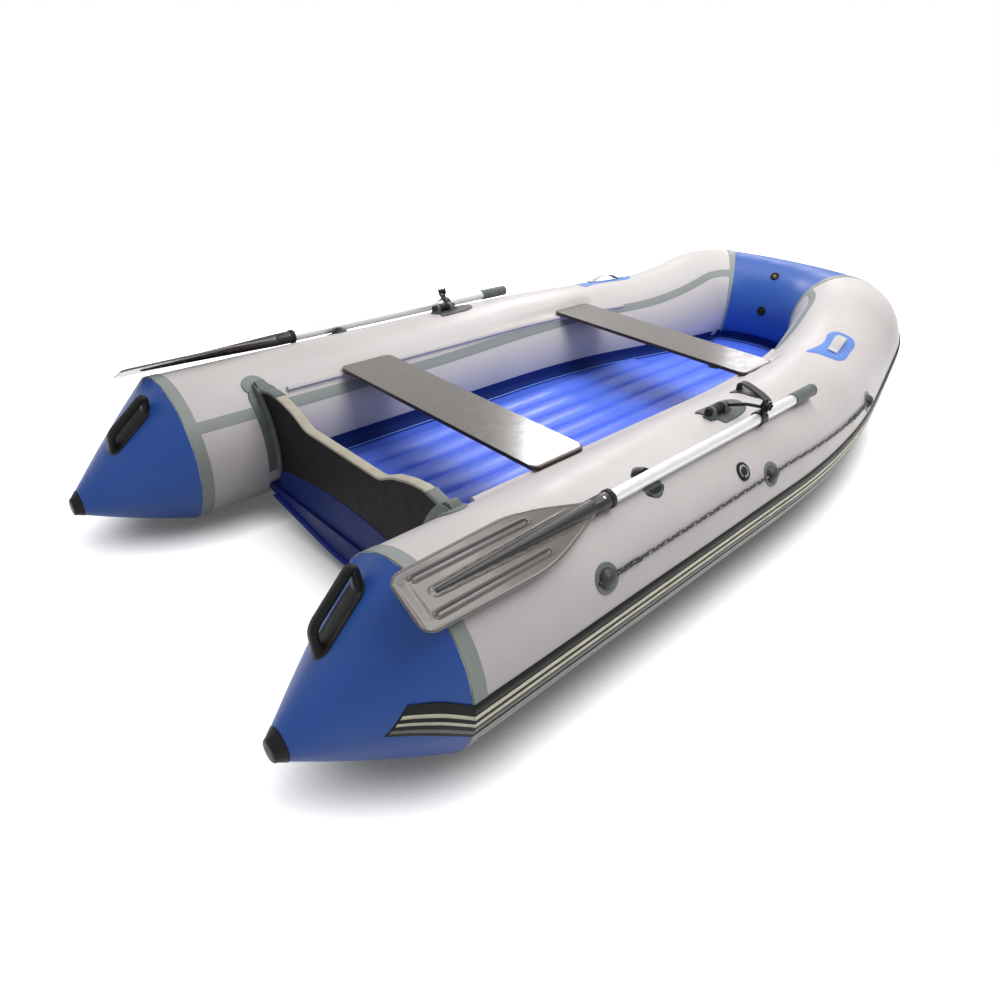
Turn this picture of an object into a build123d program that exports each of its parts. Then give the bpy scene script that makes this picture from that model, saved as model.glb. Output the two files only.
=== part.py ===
"""Inflatable boat with oars, in millimetres.

+X points to the bow, +Y to port and +Z up. The origin is on the floor under the middle of the boat.
Distances along the boat are stations, measured forward from the seams where the stern cones begin.
"""
import os
from math import acos, asin, atan2, cos, degrees, pi, radians, sin, sqrt, tan

from build123d import *

os.makedirs("parts", exist_ok=True)

# ---- hull tubes -------------------------------------------------------------------------------
tube_radius = 230.0
beam = 1700.0                    # over the tubes
straight_length = 1250.0         # parallel stretch of the tubes, forward of the stern seams
gentle_radius = 3133.0           # plan radius where the tubes begin to close in
gentle_run = 752.6               # length of that bend, measured along the boat
ring_forward = 1380.0            # seam of the bow panel, ahead of the parallel stretch
ring_inset = 308.0               # and inboard of the side tubes' axis
ring_rise = 102.0
stem_forward = 107.0             # tube axis at the stem, ahead of that seam
bow_rise = 88.0
knee_inner_radius = 22.1         # inner side of the tight turn before the bow panel

# ---- stern cones ------------------------------------------------------------------------------
cone_length = 278.0              # seam to the centre of the round tip
cone_tip_radius = 16.0
cone_tip_inset = 27.0            # the tip lies this far inboard of the tube axis
cone_tip_drop = 75.0             # and this far below it
cone_bulge = 8.0                 # how far the cone's side stands out at mid-length
cap_length = 30.0
cap_wall = 2.5

# ---- floor and bottom -------------------------------------------------------------------------
floor_top = 176.0
floor_base = 110.0
channel_count = 6
channel_width = 98.0
channel_height = 12.0
keel_height = 30.0               # keel above the ground at the transom
bottom_overhang = 24.0           # the bottom runs this far aft of the transom
bottom_inset = 150.0             # its edge lies this far inboard of the tube axis
floor_valve_station = 2065.0
floor_valve_offset = 40.0        # to starboard of the centreline
floor_valve_radius = 28.0

# ---- transom ----------------------------------------------------------------------------------
transom_station = 239.0          # aft face
transom_thickness = 28.0
notch_half_width = 188.0
notch_height = 375.0
shoulder_height = 430.0
shoulder_inset = 235.0           # top of a shoulder, inboard of the tube axis
trim_thickness = 3.0
holder_thickness = 6.0
holder_length = 108.0            # pad on the tube, along the boat
holder_lip = 24.0                # lips that grip the board's edge
holder_lip_thickness = 9.0

# ---- thwarts and rails ------------------------------------------------------------------------
thwart_bearing = 80.0            # how far a thwart's end reaches out over the tube
thwart_width = 194.0
thwart_thickness = 13.0
thwart_corner = 22.0
thwart_bottom = 405.0
aft_thwart_station = 527.0
fore_thwart_station = 1552.0
fore_thwart_travel = 400.0       # it slides this far aft
seat_gap = 0.5                   # clearance of a thwart over the tubes and rails
rail_angle = 135.2               # where the rail sits round the tube, from outboard over the top
rail_height = 12.5
rail_width = 15.0
rail_base_width = 26.0
rail_base_thickness = 1.5
rail_start_station = 330.0
rail_front_gap = 52.6            # from its front end to the end of the gentle bend

# ---- oars -------------------------------------------------------------------------------------
shaft_radius = 17.5
oar_gap = 7.5                    # between the stowed shaft and the tube
oar_angle = 63.0                 # where the shaft lies round the tube
grip_length = 130.0
grip_radius = 20.0
oar_front_station = 1505.0
sleeve_front_station = 508.0
sleeve_length = 66.0
sleeve_radius = 21.0
blade_length = 505.0
blade_half_width = 76.0
blade_flare = 120.0              # from the sleeve to half way out, and to the full width
blade_shoulder = 230.0
blade_end_half_width = 70.0
blade_corner = 30.0
blade_thickness = 5.0
ridge_end_radius = 6.0
rib_height = 4.0
rib_width = 13.0
rib_length = 300.0
rib_offset = 42.0

# ---- oarlocks ---------------------------------------------------------------------------------
pivot_station = 1178.0           # where the collar holds the shaft
swing_tilt = 20.0                # swing axis, outboard from upright
collar_wall = 4.5
collar_width = 30.0
collar_boss_radius = 10.0
eye_height = 32.0                # from the shaft axis to the underside of the eye
eye_thickness = 8.0
eye_radius = 12.0
stub_radius = 5.0
stub_head_radius = 9.0
stub_head_height = 6.0
joint_gap = 0.3
pin_offset = 20.0                # outboard of the tube axis
pin_height = 478.0
pin_radius = 9.0
pin_gap = 0.1
pin_aft_station = 1052.0
pin_front_station = 1146.0
ear_thickness = 12.0
ear_half_width = 17.0
aft_ear_station = 1060.0
fore_ear_station = 1116.0
barrel_radius = 13.0
neck_radius = 5.0
neck_bend = 14.0
neck_reach = 40.0                # from the eye inboard to where the neck turns down
neck_shoulder = 11.0             # from the pin's front end to the neck's middle
plate_length = 190.0
plate_width = 92.0
plate_thickness = 4.0
plate_corner = 20.0

# ---- oar holders, loop, handles ---------------------------------------------------------------
clip_station = 668.0
clip_radius = 30.0
clip_thickness = 4.0
clip_cheek_height = 20.0
clip_cheek_thickness = 9.0
clip_cheek_gap = 1.0             # between the shaft and the cheek
clip_width = 34.0
loop_station = 1324.0
loop_width = 22.0
loop_inboard = 45.0              # its inboard side, from the tube axis
loop_inboard_height = 33.0
loop_wall = 7.0
loop_foot_length = 60.0
loop_foot_half_angle = 12.0
loop_foot_thickness = 3.0
cone_handle_station = -108.0
cone_handle_angle = 106.0
cone_handle_length = 170.0
cone_handle_width = 62.0
cone_handle_height = 44.0
cone_handle_bar = 12.0
cone_handle_thickness = 24.0
cone_pad_thickness = 5.0
carry_angle = 76.0               # the handle straddles the end of the gentle bend
carry_patch_aft = 165.0          # reach of its patch aft of there
carry_patch_fore = 150.0
carry_patch_width = 112.0
carry_patch_corner = 30.0
carry_patch_thickness = 1.5
carry_web_length = 206.0
carry_web_width = 38.0
carry_web_height = 26.0
carry_web_foot = 34.0
carry_web_thickness = 3.0

# ---- strake, lifeline, valves -----------------------------------------------------------------
strake_top_angle = 6.0
strake_bottom_angle = -16.0
strake_thickness = 7.0
strake_tail_sections = (          # share of the cone, lower angle, upper angle
    (0.0, -16.0, 6.0), (0.16, -10.0, 14.5), (0.32, -4.0, 20.5), (0.48, 1.5, 25.0))
splash_bottom_angle = -24.0
splash_thickness = 3.0
rope_radius = 4.0
rope_aft_station = 405.0         # holders
rope_middle_station = 1127.0
rope_front_gap = 104.6           # from the front holder to the end of the gentle bend
rope_aft_angle = 26.0
rope_middle_angle = 25.0
rope_front_angle = 18.0
rope_lift = 6.0                  # rope's axis above the tube
rope_tail = 46.0                 # rope beyond the end holders
rope_holder_radius = 37.0
rope_hub_radius = 24.0
rope_holder_height = 22.0
rope_holder_base = 3.0
tube_valve_station = 1005.0
tube_valve_angle = 37.5
tube_valve_radius = 27.0
bow_valve_radius = 22.0
valve_height = 7.0
bow_valve_offset = 44.0          # to port of the stem
bow_valve_angles = (135.0, 180.0)
band_width = 40.0
band_thickness = 1.5

# ---- worked out from the sizes above ----------------------------------------------------------
tube_y = beam / 2 - tube_radius
tube_z = tube_radius
gentle_end = straight_length + gentle_run
ring_station = straight_length + ring_forward
bow_station = ring_station + stem_forward
ring_y = tube_y - ring_inset
cone_reach = cone_length + cone_tip_radius + cap_wall
bow_reach = bow_station + tube_radius
seam_x = (cone_reach - bow_reach) / 2
oar_distance = tube_radius + oar_gap + shaft_radius
oar_y = tube_y + oar_distance * cos(radians(oar_angle))
oar_z = tube_z + oar_distance * sin(radians(oar_angle))
pivot = Vector(seam_x + pivot_station, oar_y, oar_z)
swing_axis = Vector(0, sin(radians(swing_tilt)), cos(radians(swing_tilt)))
rope_holders = ((rope_aft_station, rope_aft_angle), (rope_middle_station, rope_middle_angle),
                (gentle_end - rope_front_gap, rope_front_angle))


def keep(piece, node):
    """Label a finished piece and write it."""
    piece.part.label = node
    export_step(piece.part, f"parts/{node}.step")


def keep_pair(piece, node):
    """Write a port piece and its mirror image on the starboard side."""
    keep(piece, f"{node}_port")
    with BuildPart() as twin:
        mirror(piece.part, about=Plane.XZ)
    keep(twin, f"{node}_starboard")


def radial(angle):
    """Direction across a tube: 0 outboard, 90 up, 180 inboard, on the port side."""
    return Vector(0, cos(radians(angle)), sin(radians(angle)))


def on_tube(station, angle, height=0.0):
    """A point over the straight or gently curved port tube, height above its surface."""
    past = max(0.0, station - straight_length)
    turn = asin(past / gentle_radius)
    axis = Vector(seam_x + station, tube_y - gentle_radius * (1 - cos(turn)), tube_z)
    out = Vector(sin(turn), cos(turn), 0)
    reach = tube_radius + height
    return axis + out * (reach * cos(radians(angle))) + Vector(0, 0, reach * sin(radians(angle)))


def tube_plane(station, angle):
    """Plane on the port tube's surface: x along the tube, z straight out."""
    turn = asin(max(0.0, station - straight_length) / gentle_radius)
    along = Vector(cos(turn), -sin(turn), 0)
    out = on_tube(station, angle, 1) - on_tube(station, angle)
    return Plane(origin=on_tube(station, angle), x_dir=along, z_dir=out)


def tube_section(station):
    """Plane across the port tube: x outboard, z forward along the tube."""
    out = on_tube(station, 0, 1) - on_tube(station, 0)
    return Plane(origin=on_tube(station, 0, -tube_radius), x_dir=out, z_dir=out.cross(Vector(0, 0, 1)))


# ---- axis lines -------------------------------------------------------------------------------
ring_point = Vector(seam_x + ring_station, ring_y, tube_z + ring_rise)
bow_point = Vector(seam_x + bow_station, 0, tube_z + bow_rise)
ring_mirror = Vector(ring_point.X, -ring_point.Y, ring_point.Z)

with BuildLine() as bow_line:
    bow_arc = ThreePointArc(ring_point, bow_point, ring_mirror)

with BuildLine() as flat_line:
    straight = Line((seam_x, tube_y, tube_z), (seam_x + straight_length, tube_y, tube_z))
    gentle_angle = degrees(asin(gentle_run / gentle_radius))
    gentle = JernArc(straight @ 1, straight % 1, radius=gentle_radius, arc_size=-gentle_angle)

# two arcs join the level tube to the raised ring without a corner, a wide one and a tight one
ring_direction = bow_arc % 0
ring_reach = ring_point - gentle @ 1


def knee_corners(share):
    """Corners of the wide and the tight arc, for the tight arc's tangent as a share of the wide one's."""
    pull = (gentle % 1) + ring_direction * share
    spread = (1 + share) ** 2 - pull.dot(pull)
    grip = ring_reach.dot(pull)
    handle = (sqrt(grip ** 2 + spread * ring_reach.dot(ring_reach)) - grip) / spread
    return (gentle @ 1) + (gentle % 1) * handle, ring_point - ring_direction * (handle * share)


def knee_radius(share):
    """Radius of the tight arc."""
    early, late = knee_corners(share)
    turn = acos((late - early).normalized().dot(ring_direction))
    return (ring_point - late).length / tan(turn / 2)


low_share, high_share = 0.05, 1.5
for _ in range(40):
    knee_share = (low_share + high_share) / 2
    if knee_radius(knee_share) < tube_radius + knee_inner_radius:
        low_share = knee_share
    else:
        high_share = knee_share
early_corner, late_corner = knee_corners(knee_share)
knee_point = (early_corner * knee_share + late_corner) * (1 / (1 + knee_share))

with BuildLine() as rise_line:
    rise = TangentArc(gentle @ 1, knee_point, tangent=gentle % 1)
    knee = TangentArc(rise @ 1, ring_point, tangent=rise % 1)


def arc_axis(arc):
    """Axis that an arc turns about, so that a positive turn runs from its start to its end."""
    start, centre = arc @ 0, arc.arc_center
    return Axis(centre, (start - centre).cross(arc % 0))


def arc_turn(arc):
    """Degrees that an arc turns."""
    return degrees(arc.length / arc.radius)


def carried(plane, arc):
    """The section plane at an arc's end, from the one at its start."""
    turned = plane.x_dir.rotate(Axis((0, 0, 0), arc_axis(arc).direction), arc_turn(arc))
    return Plane(origin=arc @ 1, x_dir=turned, z_dir=arc % 1)


stern_section = Plane(origin=straight @ 0, x_dir=(0, 1, 0), z_dir=(1, 0, 0))
gentle_section = Plane(origin=gentle @ 0, x_dir=(0, 1, 0), z_dir=(1, 0, 0))
rise_section = carried(gentle_section, gentle)
knee_section = carried(rise_section, rise)
ring_section = carried(knee_section, knee)
bow_section = Plane(origin=ring_point, z_dir=ring_direction,
                    x_dir=ring_direction.cross(arc_axis(bow_arc).direction))
bow_roll = degrees(atan2(ring_section.x_dir.dot(bow_section.y_dir), ring_section.x_dir.dot(bow_section.x_dir)))
print("tight turn: share", round(knee_share, 4), "radius", round(knee.radius, 1))


def band_edges(low_angle, high_angle, inner, outer):
    """Edges between two radii and two angles round a tube, for make_face."""
    middle = (low_angle + high_angle) / 2

    def point(radius, angle):
        return (radius * cos(radians(angle)), radius * sin(radians(angle)))

    with BuildLine() as outline:
        ThreePointArc(point(inner, low_angle), point(inner, middle), point(inner, high_angle))
        Line(point(inner, high_angle), point(outer, high_angle))
        ThreePointArc(point(outer, high_angle), point(outer, middle), point(outer, low_angle))
        Line(point(outer, low_angle), point(inner, low_angle))
    return outline.edges()


def bent(plane, arc, edges):
    """A section carried along an arc of the tube's axis."""
    with BuildPart() as run:
        with BuildSketch(plane):
            make_face(edges)
        revolve(axis=arc_axis(arc), revolution_arc=arc_turn(arc))
    return run.part


def circle_edges(radius):
    """A circle's edge, for make_face."""
    with BuildLine() as outline:
        CenterArc((0, 0), radius, 0, 360)
    return outline.edges()


# ---- side tubes -------------------------------------------------------------------------------
thwart_length = 2 * (tube_y - tube_radius + thwart_bearing)
seat_flat = thwart_bottom - seat_gap
seat_flat_y = thwart_length / 2 + 0.3
seat_flat_end = fore_thwart_station + thwart_width + 6
seat_flat_start = max(straight_length, fore_thwart_station - fore_thwart_travel)

with BuildPart() as side_tube:
    with BuildSketch(stern_section):
        Circle(tube_radius)
    extrude(amount=straight_length)
    for plane, arc in ((gentle_section, gentle), (rise_section, rise), (knee_section, knee)):
        add(bent(plane, arc, circle_edges(tube_radius)))
    # the stern band lies flush in the tube
    with BuildSketch(stern_section):
        make_face(band_edges(strake_top_angle + 1, 359 + splash_bottom_angle,
                             tube_radius - band_thickness, tube_radius + band_thickness))
    extrude(amount=band_width, mode=Mode.SUBTRACT)
    # the fore thwart's end presses a flat into the tube along its travel
    with Locations((seam_x + seat_flat_start, seat_flat_y, seat_flat)):
        Box(seat_flat_end - seat_flat_start, 2 * tube_radius, tube_radius, mode=Mode.SUBTRACT,
            align=(Align.MIN, Align.MAX, Align.MIN))
keep_pair(side_tube, "side_tube")

with BuildPart() as bow_panel:
    add(bent(bow_section, bow_arc, circle_edges(tube_radius)))
keep(bow_panel, "bow_panel")


# ---- stern cones ------------------------------------------------------------------------------
def cone_centre(share):
    """Centre of the cone's section, from the seam (0) to the tip (1)."""
    return Vector(seam_x - cone_length * share, tube_y - cone_tip_inset * share,
                  tube_z - cone_tip_drop * share)


def cone_radius(share):
    """Radius of the cone's section, a little fuller than straight."""
    return tube_radius + (cone_tip_radius - tube_radius) * share + cone_bulge * sin(pi * share)


cap_share = 1 - cap_length / cone_length
cone_shares = (0, cap_share / 3, 2 * cap_share / 3, cap_share)

with BuildPart() as stern_cone:
    for share in cone_shares:
        with BuildSketch(Plane(origin=cone_centre(share), x_dir=(0, -1, 0), z_dir=(-1, 0, 0))):
            Circle(cone_radius(share))
    loft()
keep_pair(stern_cone, "stern_cone")

with BuildPart() as cone_cap:
    for share in (cap_share, 1):
        with BuildSketch(Plane(origin=cone_centre(share), x_dir=(0, -1, 0), z_dir=(-1, 0, 0))):
            Circle(cone_radius(share) + cap_wall)
    loft()
    with Locations(cone_centre(1)):
        Sphere(cone_tip_radius + cap_wall)
keep_pair(cone_cap, "cone_cap")

handle_share = -cone_handle_station / cone_length
cone_slope = (cone_radius(handle_share + 0.1) - cone_radius(handle_share - 0.1)) / (0.2 * cone_length)
handle_out = radial(cone_handle_angle)
handle_foot = cone_centre(handle_share) + handle_out * cone_radius(handle_share)
centre_slide = cone_centre(1) - cone_centre(0)
handle_aft = (centre_slide * (1 / cone_length) + handle_out * cone_slope).normalized()
handle_normal = (handle_out - handle_aft * handle_out.dot(handle_aft)).normalized()
handle_pad_plane = Plane(origin=handle_foot, x_dir=handle_aft, z_dir=handle_normal)
handle_side_plane = Plane(origin=handle_foot, x_dir=handle_aft, z_dir=handle_aft.cross(handle_normal))

with BuildPart() as cone_handle:
    with BuildSketch(handle_pad_plane.offset(-tube_radius / 8)):
        SlotOverall(cone_handle_length, cone_handle_width)
    extrude(amount=tube_radius / 8 + cone_pad_thickness)
    with BuildSketch(handle_side_plane):
        half = cone_handle_length / 2 - 12
        top = cone_handle_height
        with BuildLine():
            Polyline((-half, -8), (-half, 4), (-half + 24, top), (half - 24, top), (half, 4), (half, -8),
                     close=True)
        make_face()
        fillet(vertices().group_by(Axis.Y)[-1], radius=18)
        inner = half - cone_handle_bar
        with BuildLine():
            Polyline((-inner, 7), (-inner + 14, top - cone_handle_bar),
                     (inner - 14, top - cone_handle_bar), (inner, 7), close=True)
        make_face(mode=Mode.SUBTRACT)
    extrude(amount=cone_handle_thickness / 2, both=True)
    add(stern_cone.part, mode=Mode.SUBTRACT)
keep_pair(cone_handle, "cone_handle")

# ---- seam bands and strakes -------------------------------------------------------------------
strake_end_top = cone_centre(0.32) + radial(20.5) * cone_radius(0.32)
strake_end_low = cone_centre(0.46) + radial(1.5) * cone_radius(0.46)
strake_end_normal = (strake_end_low - strake_end_top).cross(radial(11)).normalized()
if strake_end_normal.X > 0:
    strake_end_normal = -strake_end_normal
with BuildPart() as stern_band:
    with BuildSketch(stern_section):
        make_face(band_edges(strake_top_angle + 1, 359 + splash_bottom_angle,
                             tube_radius - band_thickness, tube_radius))
    extrude(amount=band_width)
keep_pair(stern_band, "stern_band")


def strake_run(plane, arc, roll=0.0):
    """The strake and its splash strip along one arc."""
    strip = bent(plane, arc, band_edges(strake_bottom_angle + roll, strake_top_angle + roll,
                                        tube_radius, tube_radius + strake_thickness))
    splash = bent(plane, arc, band_edges(splash_bottom_angle + roll, strake_bottom_angle + roll,
                                         tube_radius, tube_radius + splash_thickness))
    return strip + splash


with BuildPart() as strake_end:
    for share, low, high in strake_tail_sections:
        with BuildSketch(Plane(origin=cone_centre(share), x_dir=(0, 1, 0), z_dir=(1, 0, 0))):
            make_face(band_edges(low, high, cone_radius(share) - 4, cone_radius(share) + strake_thickness))
    loft(ruled=True)
    add(stern_cone.part, mode=Mode.SUBTRACT)
    # the end is cut on a slant
    slant = Plane(origin=strake_end_top, x_dir=strake_end_low - strake_end_top, z_dir=strake_end_normal)
    split(bisect_by=slant, keep=Keep.BOTTOM)

with BuildPart() as strake:
    with BuildSketch(stern_section):
        make_face(band_edges(strake_bottom_angle, strake_top_angle, tube_radius, tube_radius + strake_thickness))
        make_face(band_edges(splash_bottom_angle, strake_bottom_angle, tube_radius,
                             tube_radius + splash_thickness))
    extrude(amount=straight_length)
    for plane, arc in ((gentle_section, gentle), (rise_section, rise), (knee_section, knee)):
        add(strake_run(plane, arc))
    add(strake_end.part)
keep_pair(strake, "strake")

with BuildPart() as bow_strake:
    add(strake_run(bow_section, bow_arc, bow_roll))
keep(bow_strake, "bow_strake")

# ---- floor and bottom -------------------------------------------------------------------------
transom_front = seam_x + transom_station + transom_thickness
stern_end = seam_x + transom_station - bottom_overhang
tube_solids = (side_tube.part, mirror(side_tube.part, about=Plane.XZ), bow_panel.part)
bay_outline = ((transom_front, 0), (transom_front, tube_y), (seam_x + straight_length, tube_y),
               ((gentle @ 1).X, (gentle @ 1).Y), (knee_point.X, knee_point.Y),
               (ring_point.X, ring_point.Y), (bow_point.X, 0))

with BuildPart() as floor:
    with BuildSketch(Plane.XY.offset(floor_base)):
        with BuildLine():
            edge = Polyline(*bay_outline)
            mirror(edge, about=Plane.XZ)
        make_face()
    extrude(amount=floor_top - floor_base)
    # lengthwise air channels stand up as low arches
    rib_plane = Plane(origin=(transom_front, 0, floor_top), x_dir=(0, 1, 0), z_dir=(1, 0, 0))
    with BuildSketch(rib_plane):
        with BuildLine():
            for index in range(channel_count):
                left = (index - channel_count / 2) * channel_width
                ThreePointArc((left, 0), (left + channel_width / 2, channel_height), (left + channel_width, 0))
            edge_y = channel_count / 2 * channel_width
            Polyline((-edge_y, 0), (-edge_y, -channel_height), (edge_y, -channel_height), (edge_y, 0))
        make_face()
    extrude(amount=bow_point.X - transom_front)
    for solid in tube_solids:
        add(solid, mode=Mode.SUBTRACT)
keep(floor, "air_floor")

bottom_half_width = tube_y - bottom_inset
bottom_sections = (
    # station, half width, keel height, chine height
    (transom_station - bottom_overhang, bottom_half_width, keel_height, 92.0),
    (straight_length, bottom_half_width, 22.0, 80.0),
    (ring_station - 550, bottom_half_width - 80, 48.0, 92.0),
    (ring_station - 30, ring_y - 12, 96.0, 106.0),
)
with BuildPart() as hull_bottom:
    for station, half_width, keel, chine in bottom_sections:
        with BuildSketch(Plane(origin=(seam_x + station, 0, 0), x_dir=(0, 1, 0), z_dir=(1, 0, 0))):
            with BuildLine():
                Polyline((0, keel), (half_width, chine), (half_width, floor_base),
                         (-half_width, floor_base), (-half_width, chine), close=True)
            make_face()
    loft(ruled=True)
    for solid in tube_solids:
        add(solid, mode=Mode.SUBTRACT)
keep(hull_bottom, "hull_bottom")

with BuildPart() as floor_valve:
    with Locations((seam_x + floor_valve_station, -floor_valve_offset, floor_top)):
        Cylinder(floor_valve_radius, valve_height + channel_height,
                 align=(Align.CENTER, Align.CENTER, Align.MIN))
    add(floor.part, mode=Mode.SUBTRACT)
keep(floor_valve, "floor_valve")

# ---- transom ----------------------------------------------------------------------------------
transom_plane = Plane(origin=(seam_x + transom_station, 0, 0), x_dir=(0, 1, 0), z_dir=(1, 0, 0))
holder_plane = transom_plane.offset((transom_thickness - holder_length) / 2)
board_radius = tube_radius + holder_thickness
side_sections = (Location((tube_y, tube_z)), Location((-tube_y, tube_z)))
shoulder_half_width = tube_y - shoulder_inset
shoulder_run = (shoulder_half_width - notch_half_width) * 0.315


def board_outline(raise_by=0.0):
    """Edges of the board between the tube axes, its top edge raised by a step."""
    top = ((0, notch_height), (notch_half_width, notch_height),
           (notch_half_width + shoulder_run, shoulder_height - 24),
           (shoulder_half_width - shoulder_run, shoulder_height - 6), (shoulder_half_width, shoulder_height),
           (shoulder_half_width + 55, shoulder_height - 14), (tube_y, shoulder_height - 42))
    raised = [(y, z + raise_by) for y, z in top]
    with BuildLine() as outline:
        edge = Polyline(*raised, (tube_y, floor_base), (0, floor_base))
        mirror(edge, about=Plane.YZ)
    return outline.edges()


with BuildPart() as transom:
    with BuildSketch(transom_plane):
        make_face(board_outline())
        with Locations(*side_sections):
            Circle(board_radius, mode=Mode.SUBTRACT)
    extrude(amount=transom_thickness)
keep(transom, "transom")

with BuildPart() as transom_trim:
    with BuildSketch(transom_plane):
        make_face(board_outline(trim_thickness))
        make_face(board_outline(), mode=Mode.SUBTRACT)
        with Locations(*side_sections):
            Circle(board_radius + holder_lip, mode=Mode.SUBTRACT)
    extrude(amount=transom_thickness)
keep(transom_trim, "transom_trim")

holder_low_angle = 196.0
holder_high_angle = 124.0
with BuildPart() as transom_holder:
    with BuildSketch(Plane(origin=(holder_plane.origin.X, tube_y, tube_z), x_dir=(0, 1, 0), z_dir=(1, 0, 0))):
        make_face(band_edges(holder_high_angle, holder_low_angle, tube_radius, board_radius))
    extrude(amount=holder_length)
    for face in (-holder_lip_thickness, transom_thickness):
        with BuildSketch(Plane(origin=(seam_x + transom_station + face, tube_y, tube_z),
                               x_dir=(0, 1, 0), z_dir=(1, 0, 0))):
            make_face(band_edges(holder_high_angle + 2, holder_low_angle, board_radius, board_radius + holder_lip))
        extrude(amount=holder_lip_thickness)
    add(floor.part, mode=Mode.SUBTRACT)
    add(hull_bottom.part, mode=Mode.SUBTRACT)
keep_pair(transom_holder, "transom_holder")

# ---- thwarts and rails ------------------------------------------------------------------------
for name, station in (("aft", aft_thwart_station), ("fore", fore_thwart_station)):
    with BuildPart() as thwart:
        with BuildSketch(Plane.XY.offset(thwart_bottom)):
            with Locations((seam_x + station + thwart_width / 2, 0)):
                RectangleRounded(thwart_width, thwart_length, thwart_corner)
        extrude(amount=thwart_thickness)
        fillet(thwart.faces().sort_by(Axis.Z)[-1].edges(), radius=2.5)
    keep(thwart, f"thwart_{name}")

rail_out = radial(rail_angle)
rail_up = radial(rail_angle - 90)


def rail_edges():
    """Edges of the rail's section: a low base and a bead."""
    def point(out, up):
        place = rail_out * (tube_radius + out) + rail_up * up
        return (place.Y, place.Z)

    half_base, half_bead = rail_base_width / 2, rail_width / 2
    with BuildLine() as outline:
        Polyline(point(-1, -half_base), point(rail_base_thickness, -half_base),
                 point(rail_base_thickness, -half_bead), point(rail_height, -half_bead + 3),
                 point(rail_height, half_bead - 3), point(rail_base_thickness, half_bead),
                 point(rail_base_thickness, half_base), point(-1, half_base), close=True)
    return outline.edges()


rail_turn = degrees(asin((gentle_run - rail_front_gap) / gentle_radius))
with BuildPart() as seat_rail:
    with BuildSketch(stern_section.offset(rail_start_station)):
        make_face(rail_edges())
    extrude(amount=straight_length - rail_start_station)
    with BuildSketch(gentle_section):
        make_face(rail_edges())
    revolve(axis=arc_axis(gentle), revolution_arc=rail_turn)
    add(side_tube.part, mode=Mode.SUBTRACT)
keep_pair(seat_rail, "seat_rail")

# ---- oars, built on the stowed shaft's axis ---------------------------------------------------
blade_normal = radial(oar_angle)
sleeve_end = sleeve_front_station - sleeve_length


def oar_plane(station):
    """Plane across the oar, looking forward."""
    return Plane(origin=(seam_x + station, oar_y, oar_z), x_dir=(0, 1, 0), z_dir=(1, 0, 0))


shaft_front = oar_front_station - grip_length
with BuildPart() as oar_shaft:
    with BuildSketch(oar_plane(sleeve_front_station)):
        Circle(shaft_radius)
    extrude(amount=shaft_front - sleeve_front_station)
keep_pair(oar_shaft, "oar_shaft")

with BuildPart() as oar_grip:
    with BuildSketch(oar_plane(shaft_front)):
        Circle(grip_radius)
    extrude(amount=grip_length)
    fillet(oar_grip.faces().sort_by(Axis.X)[-1].edges(), radius=6)
keep_pair(oar_grip, "oar_grip")

blade_plane = Plane(origin=(seam_x + sleeve_end, oar_y, oar_z), x_dir=(-1, 0, 0), z_dir=blade_normal)
with BuildPart() as oar_blade:
    with BuildSketch(blade_plane.offset(-blade_thickness / 2)):
        with BuildLine():
            side = Spline((0, sleeve_radius - 2), (blade_flare, 0.72 * blade_half_width),
                          (blade_shoulder, blade_half_width),
                          tangents=((1, 0.25), (1, 0.02)))
            Line(side @ 1, (blade_length - blade_corner, blade_end_half_width))
            corner = RadiusArc((blade_length - blade_corner, blade_end_half_width),
                               (blade_length, blade_end_half_width - blade_corner), blade_corner)
            Line(corner @ 1, (blade_length, 0))
            mirror(about=Plane.XZ)
            Line((0, sleeve_radius - 2), (0, 2 - sleeve_radius))
        make_face()
    extrude(amount=blade_thickness)
    # the sleeve runs on as a tapered ridge
    for station, radius in ((sleeve_end, sleeve_radius), (sleeve_end - blade_length * 0.86, ridge_end_radius)):
        with BuildSketch(Plane(origin=(seam_x + station, oar_y, oar_z), x_dir=(0, -1, 0), z_dir=(-1, 0, 0))):
            Circle(radius)
    loft()
    with BuildSketch(oar_plane(sleeve_end)):
        Circle(sleeve_radius)
    extrude(amount=sleeve_length)
    for offset in (-rib_offset, rib_offset):
        with BuildSketch(blade_plane.offset(blade_thickness / 2)):
            with Locations((blade_length - 40 - rib_length / 2, offset)):
                SlotOverall(rib_length, rib_width)
        extrude(amount=rib_height)
keep_pair(oar_blade, "oar_blade")

collar_radius = shaft_radius + collar_wall
eye_plane = Plane(origin=pivot, x_dir=(1, 0, 0), z_dir=swing_axis)
with BuildPart() as oar_collar:
    with BuildSketch(oar_plane(pivot_station - collar_width / 2)):
        Circle(collar_radius)
    extrude(amount=collar_width)
    with BuildSketch(eye_plane):
        Circle(collar_boss_radius)
    extrude(amount=eye_height - joint_gap)
    with BuildSketch(eye_plane):
        Circle(stub_radius)
    extrude(amount=eye_height + eye_thickness + joint_gap + stub_head_height)
    with BuildSketch(eye_plane.offset(eye_height + eye_thickness + joint_gap)):
        Circle(stub_head_radius)
    extrude(amount=stub_head_height)
    with BuildSketch(oar_plane(pivot_station - collar_width)):
        Circle(shaft_radius)
    extrude(amount=2 * collar_width, mode=Mode.SUBTRACT)
keep_pair(oar_collar, "oar_collar")

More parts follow.
